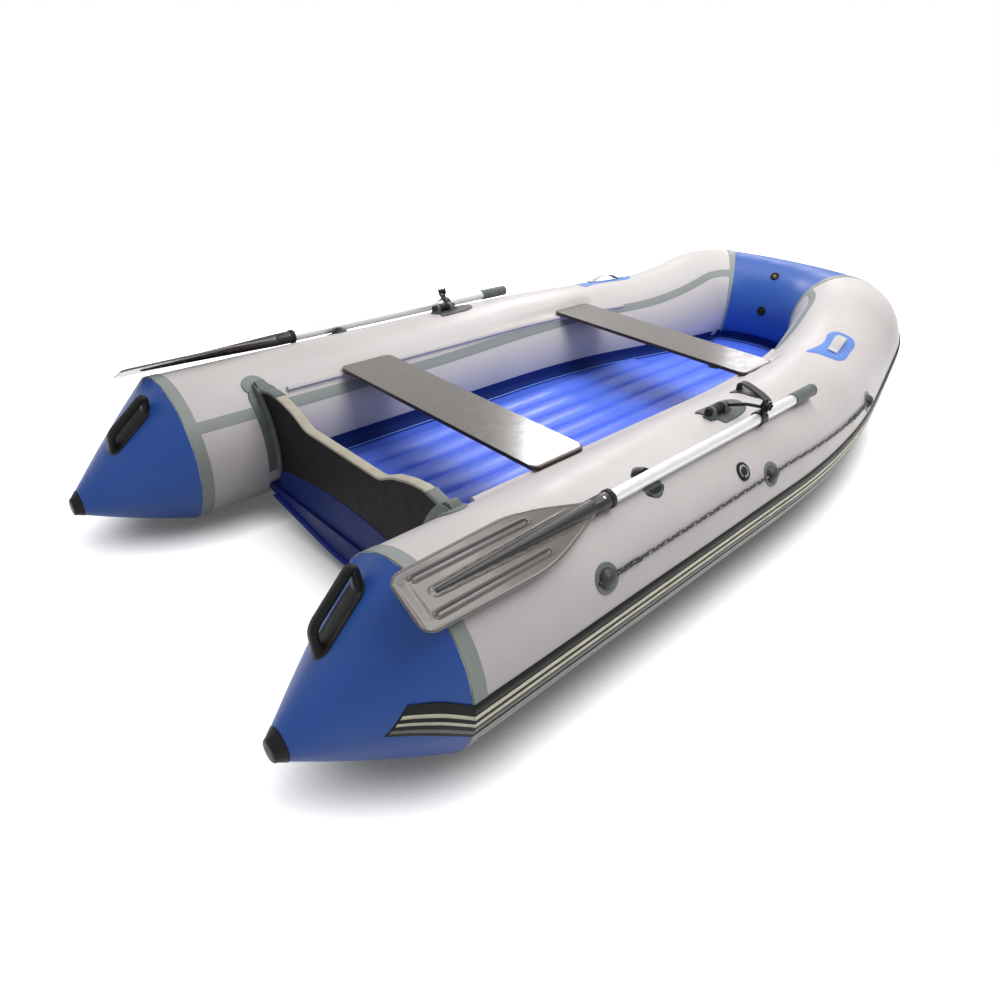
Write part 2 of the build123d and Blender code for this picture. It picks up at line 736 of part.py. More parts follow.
# ---- oarlocks ---------------------------------------------------------------------------------
pin_y = tube_y + pin_offset
pin_plane = Plane(origin=(seam_x + pin_aft_station, pin_y, pin_height), x_dir=(0, 1, 0), z_dir=(1, 0, 0))
eye_middle = pivot + swing_axis * (eye_height + eye_thickness / 2)
eye_inboard = Vector(0, -cos(radians(swing_tilt)), sin(radians(swing_tilt)))
neck_foot = Vector(pin_plane.origin.X + pin_front_station - pin_aft_station - neck_shoulder, pin_y, pin_height)
neck_start = eye_middle + (eye_inboard * 2 - Vector(1, 0, 0)).normalized() * (eye_radius - 1)
neck_turn = Vector(neck_foot.X, 0, 0) + Vector(0, eye_middle.Y, eye_middle.Z) + eye_inboard * neck_reach
with BuildLine() as neck_path:
    neck_line = FilletPolyline(neck_start, neck_turn, neck_foot, radius=neck_bend)

with BuildPart() as oarlock_pin:
    with BuildSketch(pin_plane):
        Circle(pin_radius)
    extrude(amount=pin_front_station - pin_aft_station)
    with BuildSketch(pin_plane.offset(aft_ear_station + ear_thickness + joint_gap - pin_aft_station)):
        Circle(barrel_radius)
    extrude(amount=fore_ear_station - aft_ear_station - ear_thickness - 2 * joint_gap)
    with BuildSketch(Plane(origin=neck_line @ 0, z_dir=neck_line % 0)):
        Circle(neck_radius)
    sweep(path=neck_line)
    with BuildSketch(eye_plane.offset(eye_height)):
        Circle(eye_radius)
    extrude(amount=eye_thickness)
    with BuildSketch(eye_plane.offset(eye_height - 1)):
        Circle(stub_radius + joint_gap)
    extrude(amount=eye_thickness + 2, mode=Mode.SUBTRACT)
keep_pair(oarlock_pin, "oarlock_pin")

plate_angle = degrees(atan2(pin_height - tube_z, pin_y - tube_y))
plate_station = (aft_ear_station + fore_ear_station + ear_thickness) / 2 + 46
with BuildPart() as oarlock_base:
    with BuildSketch(Plane.XY.offset(tube_z)):
        with Locations((seam_x + plate_station, pin_y)):
            RectangleRounded(plate_length, plate_width, plate_corner)
    extrude(amount=2 * tube_radius)
    with BuildSketch(stern_section):
        Circle(tube_radius + plate_thickness)
    extrude(amount=straight_length, mode=Mode.INTERSECT)
    for station in (aft_ear_station, fore_ear_station):
        with BuildSketch(Plane(origin=(seam_x + station, pin_y, 0), x_dir=(0, 1, 0), z_dir=(1, 0, 0))):
            with BuildLine():
                Polyline((-ear_half_width, tube_z), (-ear_half_width, pin_height - 6),
                         (-8, pin_height + pin_radius + 6), (8, pin_height + pin_radius + 6),
                         (ear_half_width, pin_height - 6), (ear_half_width, tube_z), close=True)
            make_face()
            with Locations((0, pin_height)):
                Circle(pin_radius + pin_gap, mode=Mode.SUBTRACT)
        extrude(amount=ear_thickness)
    add(side_tube.part, mode=Mode.SUBTRACT)
keep_pair(oarlock_base, "oarlock_base")

# ---- oar clips and the fore loop --------------------------------------------------------------
clip_plane = tube_plane(clip_station, oar_angle)
cheek_place = shaft_radius + clip_cheek_gap + clip_cheek_thickness / 2
with BuildPart() as oar_clip:
    with BuildSketch(clip_plane.offset(-clip_thickness)):
        Circle(clip_radius)
    extrude(amount=2 * clip_thickness)
    with BuildSketch(clip_plane):
        with Locations((0, -cheek_place)):
            RectangleRounded(clip_width, clip_cheek_thickness, clip_cheek_thickness / 3)
    extrude(amount=clip_cheek_height)
    with BuildSketch(clip_plane):
        with Locations((0, cheek_place - clip_cheek_thickness / 4)):
            RectangleRounded(clip_width, clip_cheek_thickness / 2, clip_cheek_thickness / 6)
    extrude(amount=clip_thickness + 1)
    add(side_tube.part, mode=Mode.SUBTRACT)
keep_pair(oar_clip, "oar_clip")

loop_section = tube_section(loop_station)
loop_inboard_y = loop_section.origin.Y - loop_inboard
loop_base_z = tube_z + sqrt(tube_radius ** 2 - loop_inboard ** 2)
loop_fall = tan(radians(swing_tilt))
loop_outboard_y = tube_y + tube_radius * sin(radians(swing_tilt)) + 5
loop_plane = Plane(origin=(seam_x + loop_station, 0, 0), x_dir=(0, 1, 0), z_dir=(1, 0, 0))


def loop_outline(inset):
    """Corners of the loop's outline, drawn in from its inboard side and top."""
    top = loop_base_z + loop_inboard_height - inset / cos(radians(swing_tilt))
    return ((loop_inboard_y + inset, tube_z), (loop_inboard_y + inset, top - loop_fall * inset),
            (loop_outboard_y, top - loop_fall * (loop_outboard_y - loop_inboard_y)), (loop_outboard_y, tube_z))


with BuildPart() as loop_twin:
    with BuildSketch(loop_plane):
        with BuildLine():
            Polyline(*loop_outline(0), close=True)
        make_face()
        fillet(vertices().group_by(Axis.Y)[-1], radius=loop_wall)
        with BuildLine():
            Polyline(*loop_outline(loop_wall), close=True)
        make_face(mode=Mode.SUBTRACT)
    extrude(amount=loop_width / 2, both=True)
    with BuildSketch(loop_section):
        make_face(band_edges(90 - loop_foot_half_angle, 90 + loop_foot_half_angle,
                             tube_radius - loop_foot_thickness, tube_radius + loop_foot_thickness))
    extrude(amount=loop_foot_length / 2, both=True)
    add(side_tube.part, mode=Mode.SUBTRACT)
with BuildPart() as fore_loop:
    mirror(loop_twin.part, about=Plane.XZ)
keep(fore_loop, "fore_loop")

# ---- carry handles ----------------------------------------------------------------------------
carry_out = rise_section.x_dir * cos(radians(carry_angle)) + Vector(0, 0, sin(radians(carry_angle)))
carry_plane = Plane(origin=(rise @ 0) + carry_out * tube_radius, x_dir=rise % 0, z_dir=carry_out)
carry_edges = band_edges(carry_angle - 40, carry_angle + 40, tube_radius, tube_radius + carry_patch_thickness)
gentle_back = Axis(gentle.arc_center, -arc_axis(gentle).direction)

with BuildPart() as carry_patch:
    with BuildSketch(rise_section):
        make_face(carry_edges)
    revolve(axis=gentle_back, revolution_arc=degrees(1.2 * carry_patch_aft / gentle_radius))
    with BuildSketch(rise_section):
        make_face(carry_edges)
    revolve(axis=arc_axis(rise), revolution_arc=degrees(1.2 * carry_patch_fore / rise.radius))
    with BuildSketch(carry_plane.offset(-carry_patch_width)):
        with Locations(((carry_patch_fore - carry_patch_aft) / 2, 0)):
            RectangleRounded(carry_patch_aft + carry_patch_fore, carry_patch_width, carry_patch_corner)
    extrude(amount=2 * carry_patch_width, mode=Mode.INTERSECT)
keep_pair(carry_patch, "carry_patch")

web_side_plane = Plane(origin=carry_plane.origin, x_dir=carry_plane.x_dir,
                       z_dir=carry_plane.x_dir.cross(carry_out))
with BuildPart() as carry_handle:
    with BuildSketch(web_side_plane):
        half = carry_web_length / 2
        spring = half - carry_web_foot
        with BuildLine():
            Line((-half, -3), (-half, carry_web_thickness + 1.5))
            Line((-half, carry_web_thickness + 1.5), (-spring, carry_web_thickness + 1.5))
            ThreePointArc((-spring, carry_web_thickness + 1.5), (0, carry_web_height),
                          (spring, carry_web_thickness + 1.5))
            Line((spring, carry_web_thickness + 1.5), (half, carry_web_thickness + 1.5))
            Line((half, carry_web_thickness + 1.5), (half, -3))
            Line((half, -3), (spring, -3))
            Line((spring, -3), (spring, 1.5))
            ThreePointArc((spring, 1.5), (0, carry_web_height - carry_web_thickness), (-spring, 1.5))
            Line((-spring, 1.5), (-spring, -3))
            Line((-spring, -3), (-half, -3))
        make_face()
    extrude(amount=carry_web_width / 2, both=True)
    add(side_tube.part, mode=Mode.SUBTRACT)
    add(carry_patch.part, mode=Mode.SUBTRACT)
keep_pair(carry_handle, "carry_handle")

# ---- lifeline and its holders -----------------------------------------------------------------
first_holder, middle_holder, last_holder = rope_holders
rope_start = on_tube(first_holder[0] - rope_tail, first_holder[1], rope_lift)
rope_bend = on_tube(straight_length, middle_holder[1], rope_lift)
rope_end = on_tube(last_holder[0] + rope_tail, last_holder[1] - 0.5, rope_lift)
with BuildLine() as rope_line:
    rope_straight = Line(rope_start, rope_bend)
    rope_arc = TangentArc(rope_bend, rope_end, tangent=rope_straight % 1)

with BuildPart() as lifeline:
    with BuildSketch(Plane(origin=rope_start, z_dir=rope_straight % 0)):
        Circle(rope_radius)
    extrude(amount=rope_straight.length)
    with BuildSketch(Plane(origin=rope_bend, z_dir=rope_arc % 0)):
        Circle(rope_radius)
    revolve(axis=arc_axis(rope_arc), revolution_arc=arc_turn(rope_arc))
keep_pair(lifeline, "lifeline")

for number, (station, angle) in enumerate(rope_holders, start=1):
    holder_base = tube_plane(station, angle)
    with BuildPart() as rope_holder:
        with BuildSketch(holder_base.offset(-rope_holder_base)):
            Circle(rope_holder_radius)
        extrude(amount=2 * rope_holder_base)
        with BuildSketch(holder_base):
            Circle(rope_hub_radius)
        extrude(amount=rope_holder_height, taper=8)
        add(side_tube.part, mode=Mode.SUBTRACT)
        add(lifeline.part, mode=Mode.SUBTRACT)
    keep_pair(rope_holder, f"rope_holder_{number}")

# ---- valves -----------------------------------------------------------------------------------
with BuildPart() as tube_valve:
    with BuildSketch(tube_plane(tube_valve_station, tube_valve_angle).offset(-valve_height)):
        Circle(tube_valve_radius)
    extrude(amount=2 * valve_height)
    add(side_tube.part, mode=Mode.SUBTRACT)
keep_pair(tube_valve, "tube_valve")

valve_share = 0.5 - bow_valve_offset / bow_arc.length
valve_along = bow_arc % valve_share
valve_forward = valve_along.cross(arc_axis(bow_arc).direction)
for name, angle in zip(("upper", "lower"), bow_valve_angles):
    valve_out = valve_forward * cos(radians(angle)) + valve_along.cross(valve_forward) * sin(radians(angle))
    valve_seat = (bow_arc @ valve_share) + valve_out * tube_radius
    with BuildPart() as bow_valve:
        with BuildSketch(Plane(origin=valve_seat, x_dir=valve_along, z_dir=valve_out).offset(-valve_height)):
            Circle(bow_valve_radius)
        extrude(amount=2 * valve_height)
        add(bow_panel.part, mode=Mode.SUBTRACT)
    keep(bow_valve, f"bow_valve_{name}")
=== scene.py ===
# %% [markdown]
# # An inflatable boat
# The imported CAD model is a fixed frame. Every cell below dresses one part of the boat: its tubes,
# its floor, its transom, its seats and its oars. Lengths are in metres, +X points to the bow,
# +Y to port and +Z up, and a distance along the boat is a station, measured forward from the
# seams where the stern cones begin.

# %% Load the frame
from math import asin, atan2, ceil, copysign, cos, degrees, exp, floor, hypot, pi, radians, sin, sqrt

import bmesh
import bpy
import numpy as np
from mathutils import Matrix, Vector


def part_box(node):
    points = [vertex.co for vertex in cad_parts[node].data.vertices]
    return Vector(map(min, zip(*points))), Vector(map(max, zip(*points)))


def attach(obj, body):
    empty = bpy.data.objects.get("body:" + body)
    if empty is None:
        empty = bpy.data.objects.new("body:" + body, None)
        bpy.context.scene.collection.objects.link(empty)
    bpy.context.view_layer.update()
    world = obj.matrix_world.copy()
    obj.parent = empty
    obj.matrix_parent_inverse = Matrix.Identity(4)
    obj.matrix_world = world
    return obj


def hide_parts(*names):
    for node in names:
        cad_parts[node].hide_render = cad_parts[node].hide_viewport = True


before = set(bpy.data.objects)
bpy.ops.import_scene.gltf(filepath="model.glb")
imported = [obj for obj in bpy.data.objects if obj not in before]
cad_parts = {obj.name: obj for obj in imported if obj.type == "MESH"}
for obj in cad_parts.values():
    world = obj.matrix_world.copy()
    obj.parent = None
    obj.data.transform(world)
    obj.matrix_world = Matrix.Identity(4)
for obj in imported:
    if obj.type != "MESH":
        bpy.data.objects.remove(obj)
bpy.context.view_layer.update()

# %% [markdown]
# ## Camera, floor and light
# The camera stands astern on the starboard side and looks down along the boat with a wide lens.
# Its direction is built from a heading, a pitch and a roll, so that each can be changed alone.

# %% Camera
eye = Vector((-1.9798, -1.6383, 1.3357))
heading, pitch, roll = (radians(a) for a in (42.52, -27.37, 2.84))
gaze = Vector((cos(pitch) * cos(heading), cos(pitch) * sin(heading),
               sin(pitch)))
level = Vector((sin(heading), -cos(heading), 0))
rightward = level * cos(roll) + level.cross(gaze) * sin(roll)
upward = rightward.cross(gaze)
camera_data = bpy.data.cameras.new("camera")
camera_data.sensor_width = 36
camera_data.lens = 26.38
camera_data.shift_x, camera_data.shift_y = -0.0634, -0.0515
camera = bpy.data.objects.new("camera", camera_data)
axes = Matrix((rightward, upward, -gaze)).transposed().to_4x4()
camera.matrix_world = Matrix.Translation(eye) @ axes
bpy.context.scene.collection.objects.link(camera)
bpy.context.scene.camera = camera
bpy.context.scene.view_settings.view_transform = "Standard"
print("camera looks along", [round(v, 3) for v in gaze])

# %% [markdown]
# The floor and the world look plain white straight on, and pale grey to every other ray, so that
# the backdrop doesn't flood the boat with light. The Light Path node tells those rays apart. These
# helpers make an object, a material's node tree and that test.

# %% Helpers for objects and nodes
def link(name, data):
    """A new object in the scene."""
    obj = bpy.data.objects.new(name, data)
    bpy.context.scene.collection.objects.link(obj)
    return obj


def new_tree(name):
    """A new material, with its nodes, its links and its shader."""
    material = bpy.data.materials.new(name)
    material.use_nodes = True
    nodes = material.node_tree.nodes
    return material, nodes, material.node_tree.links, nodes["Principled BSDF"]


def set_inputs(node, **values):
    """Sets a node's sockets by name, with a low line for a space."""
    for label, value in values.items():
        node.inputs[label.replace("_", " ")].default_value = value


def camera_sees(tree):
    """1 for a ray that shows the background: straight on, or by way of gloss or glass."""
    kind = tree.nodes.new("ShaderNodeLightPath")
    value = kind.outputs["Is Camera Ray"]
    for other in ("Is Glossy Ray", "Is Transmission Ray"):
        either = tree.nodes.new("ShaderNodeMath")
        either.operation = "MAXIMUM"
        tree.links.new(value, either.inputs[0])
        tree.links.new(kind.outputs[other], either.inputs[1])
        value = either.outputs[0]
    return value


def seen_or_lit(tree, lit, seen, output):
    """Shows one shader to the rays that look at the background, and lights with the other."""
    choice = tree.nodes.new("ShaderNodeMixShader")
    tree.links.new(camera_sees(tree), choice.inputs["Fac"])
    tree.links.new(lit.outputs[0], choice.inputs[1])
    tree.links.new(seen.outputs[0], choice.inputs[2])
    tree.links.new(choice.outputs[0], tree.nodes[output].inputs["Surface"])


# %% The floor's plane
ground_data = bpy.data.meshes.new("studio_floor")
ground_data.from_pydata([(-14, -14, 0), (14, -14, 0), (14, 14, 0), (-14, 14, 0)], [], [(0, 1, 2, 3)])
ground = link("studio_floor", ground_data)
ground_finish, nodes, links, shader = new_tree("studio_floor_white")
set_inputs(shader, Base_Color=(0.48, 0.48, 0.48, 1), Roughness=0.9, Specular_IOR_Level=0.1)
ground_data.materials.append(ground_finish)
print("floor plane:", [round(v) for v in ground.dimensions[:2]], "m")

# %% [markdown]
# An inflated hull touches the ground along soft lines, with a dark crease below them. Ambient
# occlusion measures how closed in each place of the floor is, and turns its white down there. A
# weak glow fills the rest of the floor, stronger with distance, until it meets the white world.

# %% The floor's white and its contact shadow
white_floor = nodes.new("ShaderNodeBsdfDiffuse")
nearness = nodes.new("ShaderNodeAmbientOcclusion")
nearness.samples = 12
set_inputs(nearness, Distance=0.13)
contact = nodes.new("ShaderNodeMapRange")
set_inputs(contact, From_Min=0.30, From_Max=0.97, To_Min=0.14, To_Max=0.97)
links.new(nearness.outputs["AO"], contact.inputs["Value"])
links.new(contact.outputs[0], white_floor.inputs["Color"])
glow = nodes.new("ShaderNodeEmission")
links.new(contact.outputs[0], glow.inputs["Color"])
lifted = nodes.new("ShaderNodeAddShader")
links.new(white_floor.outputs[0], lifted.inputs[0])
links.new(glow.outputs[0], lifted.inputs[1])

distance_out = nodes.new("ShaderNodeVectorMath")
distance_out.operation = "LENGTH"
flat_place = nodes.new("ShaderNodeMapping")
set_inputs(flat_place, Scale=(0.58, 1.0, 1.0))
links.new(nodes.new("ShaderNodeTexCoord").outputs["Object"], flat_place.inputs["Vector"])
links.new(flat_place.outputs[0], distance_out.inputs[0])
fade = nodes.new("ShaderNodeMapRange")
fade.interpolation_type = "SMOOTHSTEP"
set_inputs(fade, From_Min=0.75, From_Max=1.7, To_Min=0.62, To_Max=1.0)
links.new(distance_out.outputs["Value"], fade.inputs["Value"])
links.new(fade.outputs[0], glow.inputs["Strength"])
seen_or_lit(ground_finish.node_tree, shader, lifted, "Material Output")
print("floor material:", len(nodes), "nodes")

# %% World
world = bpy.data.worlds.new("studio")
bpy.context.scene.world = world
world.use_nodes = True
tree = world.node_tree
ambient = tree.nodes["Background"]
set_inputs(ambient, Color=(0.95, 0.97, 1.0, 1), Strength=0.38)
backdrop = tree.nodes.new("ShaderNodeBackground")
set_inputs(backdrop, Color=(1, 1, 1, 1), Strength=1.0)
seen_or_lit(tree, ambient, backdrop, "World Output")
print("world:", len(tree.nodes), "nodes")

# %% [markdown]
# Two large square lamps overhead give soft, even light. Two small ones beyond the bow are there for
# their reflections, which draw bright streaks along the tubes and across the boards.

# %% Lamps
def lamp(name, place, target, size, power):
    """A square soft light that faces a point."""
    data = bpy.data.lights.new(name, "AREA")
    data.size = size
    data.energy = power
    obj = link(name, data)
    obj.location = place
    obj.rotation_euler = (Vector(target) - Vector(place)).to_track_quat("-Z", "Y").to_euler()


lamp("key_light", (0.3, -2.2, 4.1), (0.0, -0.3, 0.2), 2.2, 74)
lamp("top_light", (1.5, 0.5, 4.2), (0.6, 0, 0.2), 2.8, 82)
lamp("bow_window", (2.16, 2.25, 2.45), (-0.71, -0.4, 0.4), 0.60, 23)
lamp("bow_lamp", (3.22, 1.10, 1.60), (0.31, -0.42, 0.42), 0.42, 3.5)

# %% [markdown]
# ## Finishes
# Coated fabric is a woven cloth under a smooth skin of PVC. Up close the weave shows as a fine
# relief, and from a step away the colour drifts a little. Each finish below is built from noise and
# wave textures on object coordinates, so a piece needs no UV map, and its constant values sit on
# the shader's own sockets.


# %% Helpers for finishes
def noise(nodes, links, coordinates, scale, detail=3.0, stretch=(1, 1, 1)):
    """A noise texture, stretched along the object's axes."""
    mapping = nodes.new("ShaderNodeMapping")
    set_inputs(mapping, Scale=stretch)
    links.new(coordinates, mapping.inputs["Vector"])
    texture = nodes.new("ShaderNodeTexNoise")
    set_inputs(texture, Scale=scale, Detail=detail)
    links.new(mapping.outputs["Vector"], texture.inputs["Vector"])
    return texture.outputs["Fac"]


def vary(nodes, links, socket, value, *stops):
    """Feeds a socket from a colour ramp over a value. A stop is a place and a grey or a colour."""
    node = nodes.new("ShaderNodeValToRGB")
    while len(node.color_ramp.elements) < len(stops):
        node.color_ramp.elements.new(0.5)
    for element, (place, colour) in zip(node.color_ramp.elements, stops):
        element.position = place
        element.color = (colour, colour, colour, 1) if isinstance(colour, float) else (*colour, 1)
    links.new(value, node.inputs["Fac"])
    links.new(node.outputs["Color"], socket)


def relief(nodes, links, shader, height, strength, distance):
    """Bump from a height, chained after any bump that the shader already has."""
    bump = nodes.new("ShaderNodeBump")
    set_inputs(bump, Strength=strength, Distance=distance)
    links.new(height, bump.inputs["Height"])
    socket = shader.inputs["Normal"]
    if socket.links:
        links.new(socket.links[0].from_socket, bump.inputs["Normal"])
    links.new(bump.outputs["Normal"], socket)


def shade(colour, factor):
    """A colour made lighter or darker."""
    return tuple(min(1.0, c * factor) for c in colour)


# %% [markdown]
# Coated fabric gets its weave from three crossed wave textures, one for each axis, so that the
# threads show whichever way a piece faces. Two noises drift its colour and its sheen.

# %% Coated fabric
def coated_fabric(name, colour, roughness=0.42, weave=0.25, drift=0.07, coat=0.05, gloss=0.3):
    """PVC-coated cloth: drifting colour, patchy sheen, a fine square weave and slack ripples."""
    material, nodes, links, shader = new_tree(name)
    place = nodes.new("ShaderNodeTexCoord").outputs["Object"]
    cloud = noise(nodes, links, place, 3.0, 4.0)
    vary(nodes, links, shader.inputs["Base Color"], cloud,
         (0.25, shade(colour, 1 - drift)), (0.75, shade(colour, 1 + drift)))
    patches = noise(nodes, links, place, 9.0)
    vary(nodes, links, shader.inputs["Roughness"], patches,
         (0.3, roughness - 0.05), (0.7, roughness + 0.07))
    set_inputs(shader, Specular_IOR_Level=gloss, Coat_Weight=coat, Coat_Roughness=0.35)
    for axis in ("X", "Y", "Z"):
        threads = nodes.new("ShaderNodeTexWave")
        threads.bands_direction = axis
        set_inputs(threads, Scale=130.0)
        links.new(place, threads.inputs["Vector"])
        relief(nodes, links, shader, threads.outputs["Fac"], weave, 0.00012)
    relief(nodes, links, shader, noise(nodes, links, place, 14.0, 2.0), 0.25, 0.002)
    return material


# %% [markdown]
# Moulded rubber and plastic share one recipe: noise for dust and for handled, uneven gloss, and a
# finer noise for the mould's pebbled grain. Metal uses it too, with the metallic value raised.

# %% Moulded parts
def moulded(name, colour, roughness=0.5, grain=0.2, metallic=0.0, coat=0.0, dust=1.35, gloss=0.35,
            uneven=0.075):
    """Moulded rubber or plastic: pebbled grain, handled edges and a little dust."""
    material, nodes, links, shader = new_tree(name)
    place = nodes.new("ShaderNodeTexCoord").outputs["Object"]
    spots = noise(nodes, links, place, 22.0, 5.0)
    vary(nodes, links, shader.inputs["Base Color"], spots, (0.35, colour), (0.8, shade(colour, dust)))
    handled = noise(nodes, links, place, 60.0)
    vary(nodes, links, shader.inputs["Roughness"], handled,
         (0.3, roughness - uneven), (0.7, roughness + uneven))
    set_inputs(shader, Specular_IOR_Level=gloss, Metallic=metallic, Coat_Weight=coat)
    if grain:
        relief(nodes, links, shader, noise(nodes, links, place, 240.0, 2.0), grain, 0.0004)
    return material


def paint_shade_where(material, attribute, colour):
    """Turns a finish to a second colour where a piece's own attribute is 1."""
    nodes, links = material.node_tree.nodes, material.node_tree.links
    base = nodes["Principled BSDF"].inputs["Base Color"]
    where = nodes.new("ShaderNodeAttribute")
    where.attribute_name = attribute
    mix = nodes.new("ShaderNodeMix")
    mix.data_type = "RGBA"
    factor, first, second = mix.inputs[0], mix.inputs[6], mix.inputs[7]
    links.new(where.outputs["Fac"], factor)
    links.new(base.links[0].from_socket, first)
    second.default_value = (*colour, 1)
    links.new(mix.outputs[2], base)


# %% [markdown]
# The seats and the transom are plywood pressed under a hard film. Its faint streaks run across the
# boat, so the noise is stretched that way, and a clear coat gives the film's sharp reflection.

# %% Film-faced board
def board_film(name, colour, roughness, grain=0.12, streaks=0.06, gloss=0.5, coat=0.3):
    """Film-faced plywood: long faint streaks under a smooth glossy film."""
    material, nodes, links, shader = new_tree(name)
    place = nodes.new("ShaderNodeTexCoord").outputs["Object"]
    streak = noise(nodes, links, place, 9.0, 6.0, (9, 0.6, 9))
    vary(nodes, links, shader.inputs["Base Color"], streak,
         (0.3, shade(colour, 1 - streaks)), (0.7, shade(colour, 1 + streaks)))
    patches = noise(nodes, links, place, 30.0, 4.0)
    vary(nodes, links, shader.inputs["Roughness"], patches,
         (0.3, roughness - 0.04), (0.7, roughness + 0.06))
    set_inputs(shader, Specular_IOR_Level=gloss, Coat_Weight=coat, Coat_Roughness=0.12)
    relief(nodes, links, shader, streak, grain, 0.0003)
    return material


# %% [markdown]
# The colours are linear values, which look darker as numbers than they do on screen.

# %% Fabrics
grey_fabric = coated_fabric("grey_fabric", (0.64, 0.597, 0.582), 0.38)
blue_fabric = coated_fabric("blue_fabric", (0.026, 0.104, 0.43), 0.38)
floor_fabric = coated_fabric("floor_fabric", (0.105, 0.205, 0.93), 0.33, drift=0.08, coat=0.12)
navy_fabric = coated_fabric("navy_fabric", (0.009, 0.026, 0.17), 0.4, coat=0.0, gloss=0.16)
bottom_fabric = coated_fabric("bottom_fabric", (0.008, 0.018, 0.145), 0.42, coat=0.0, gloss=0.14)
hem_fabric = coated_fabric("hem_fabric", (0.018, 0.040, 0.36), 0.4, coat=0.0, gloss=0.2)
seam_tape = coated_fabric("seam_tape", (0.29, 0.315, 0.295), 0.4)
piping_fabric = coated_fabric("piping_fabric", (0.16, 0.33, 0.72), 0.35)
rail_fabric = coated_fabric("rail_fabric", (0.60, 0.56, 0.55), 0.4)
# The splash strip's darker grey is painted shade: the shade on the tube below the strake.
splash_fabric_painted_shade = coated_fabric("splash_fabric_painted_shade", (0.40, 0.375, 0.365), 0.4)
patch_fabric = coated_fabric("patch_fabric", (0.10, 0.24, 0.68), 0.38)
webbing_cloth = coated_fabric("webbing_cloth", (0.62, 0.60, 0.60), 0.6, weave=0.8, coat=0.0)
thread = coated_fabric("thread", (0.78, 0.78, 0.78), 0.6, coat=0.0)
print("fabrics:", len(bpy.data.materials) - 1)

# %% Rubbers and ropes
black_rubber = moulded("black_rubber", (0.012, 0.012, 0.012), 0.42, gloss=0.14)
cream_rubber = moulded("cream_rubber", (0.70, 0.67, 0.52), 0.5, grain=0.1)
cream_trim = moulded("cream_trim", (0.42, 0.385, 0.30), 0.55, grain=0.15, dust=1.25)
splash_rubber = moulded("splash_rubber", (0.17, 0.165, 0.155), 0.45)
loop_rubber = moulded("loop_rubber", (0.040, 0.043, 0.042), 0.36)
hood_rubber = moulded("hood_rubber", (0.032, 0.034, 0.035), 0.40)
grey_rubber = moulded("grey_rubber", (0.125, 0.14, 0.135), 0.45)
disc_rubber = moulded("disc_rubber", (0.19, 0.21, 0.20), 0.45)
rope_fibre = moulded("rope_fibre", (0.050, 0.050, 0.053), 0.6)
rope_fibre_pale = moulded("rope_fibre_pale", (0.34, 0.34, 0.35), 0.6)

# %% Plastics, boards and metals
black_plastic = moulded("black_plastic", (0.010, 0.010, 0.011), 0.36, grain=0.12, gloss=0.2)
grey_plastic = moulded("grey_plastic", (0.085, 0.09, 0.095), 0.42, grain=0.15)
grip_plastic = moulded("grip_plastic", (0.10, 0.115, 0.12), 0.5)
blade_plastic = moulded("blade_plastic", (0.118, 0.099, 0.090), 0.26, grain=0.0, coat=0.30,
                        dust=1.05, gloss=0.5, uneven=0.015)
spine_plastic = moulded("spine_plastic", (0.022, 0.021, 0.020), 0.30, grain=0.0, coat=0.12,
                        dust=1.1, gloss=0.3, uneven=0.01)
holder_grey = moulded("holder_grey", (0.16, 0.17, 0.17), 0.42, grain=0.12)
brass_plastic = moulded("brass_plastic", (0.15, 0.115, 0.035), 0.4, grain=0.08, metallic=0.3)
valve_plastic = moulded("valve_plastic", (0.30, 0.31, 0.32), 0.35, grain=0.05, metallic=0.3)
seat_film = board_film("seat_film", (0.115, 0.099, 0.088), 0.24, grain=0.02, streaks=0.05,
                       gloss=0.42, coat=0.22)
ply_edge = board_film("ply_edge", (0.040, 0.019, 0.016), 0.42, grain=0.3, streaks=0.3, coat=0.0)
transom_film = board_film("transom_film", (0.009, 0.008, 0.010), 0.55, grain=0.03, streaks=0.15,
                          gloss=0.10, coat=0.0)
shaft_metal = moulded("shaft_metal", (0.74, 0.75, 0.76), 0.36, grain=0.0, metallic=0.5, dust=1.03)
steel = moulded("steel", (0.6, 0.6, 0.6), 0.25, grain=0.02, metallic=1.0)
print("finishes:", len(bpy.data.materials))

# %% [markdown]
# ## The hull's line
# The tube's axis is a straight run, then four arcs that meet without a corner: a gentle bend, a
# long rise, a tight knee and the bow. Each run keeps a frame, made of the way along, the way
# outboard and the way up, and carries it round its arc. With it, every strip, patch and fitting
# can be placed by three numbers: how far along, at what angle round the tube, and how far off it.

# %% Runs of the tube's axis
TUBE = 0.230
STRAIGHT_RUN = 1.25
GENTLE_RADIUS, GENTLE_TURN = 3.133, radians(13.9)
GENTLE_LENGTH = GENTLE_RADIUS * GENTLE_TURN
seam_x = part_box("side_tube_port")[0].x
axis_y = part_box("stern_cone_port")[1].y - TUBE
RING = Vector((seam_x + 2.630, 0.312, TUBE + 0.102))
STEM = Vector((seam_x + 2.737, 0.0, TUBE + 0.088))
KNEE_SHARE = 0.42


def arc_run(start, along, out, end):
    """The arc that leaves start along a direction and reaches end."""
    reach = end - start
    side = reach - along * reach.dot(along)
    radius = reach.length_squared / (2 * side.length)
    turn = 2 * atan2(side.length, reach.dot(along))
    return {"start": start, "along": along, "out": out, "inward": side.normalized(), "radius": radius,
            "length": radius * turn}


def run_frame(run, distance):
    """Centre, way along, way outboard and way up, a distance along a run."""
    if run["radius"] is None:
        centre, along, out = run["start"] + run["along"] * distance, run["along"], run["out"]
    else:
        turn = distance / run["radius"]
        axis = run["along"].cross(run["inward"])
        inward = run["inward"] * cos(turn) - run["along"] * sin(turn)
        along = run["along"] * cos(turn) + run["inward"] * sin(turn)
        centre = run["start"] + (run["inward"] - inward) * run["radius"]
        out = inward * run["out"].dot(run["inward"]) + axis * run["out"].dot(axis)
    return centre, along, out, along.cross(out)


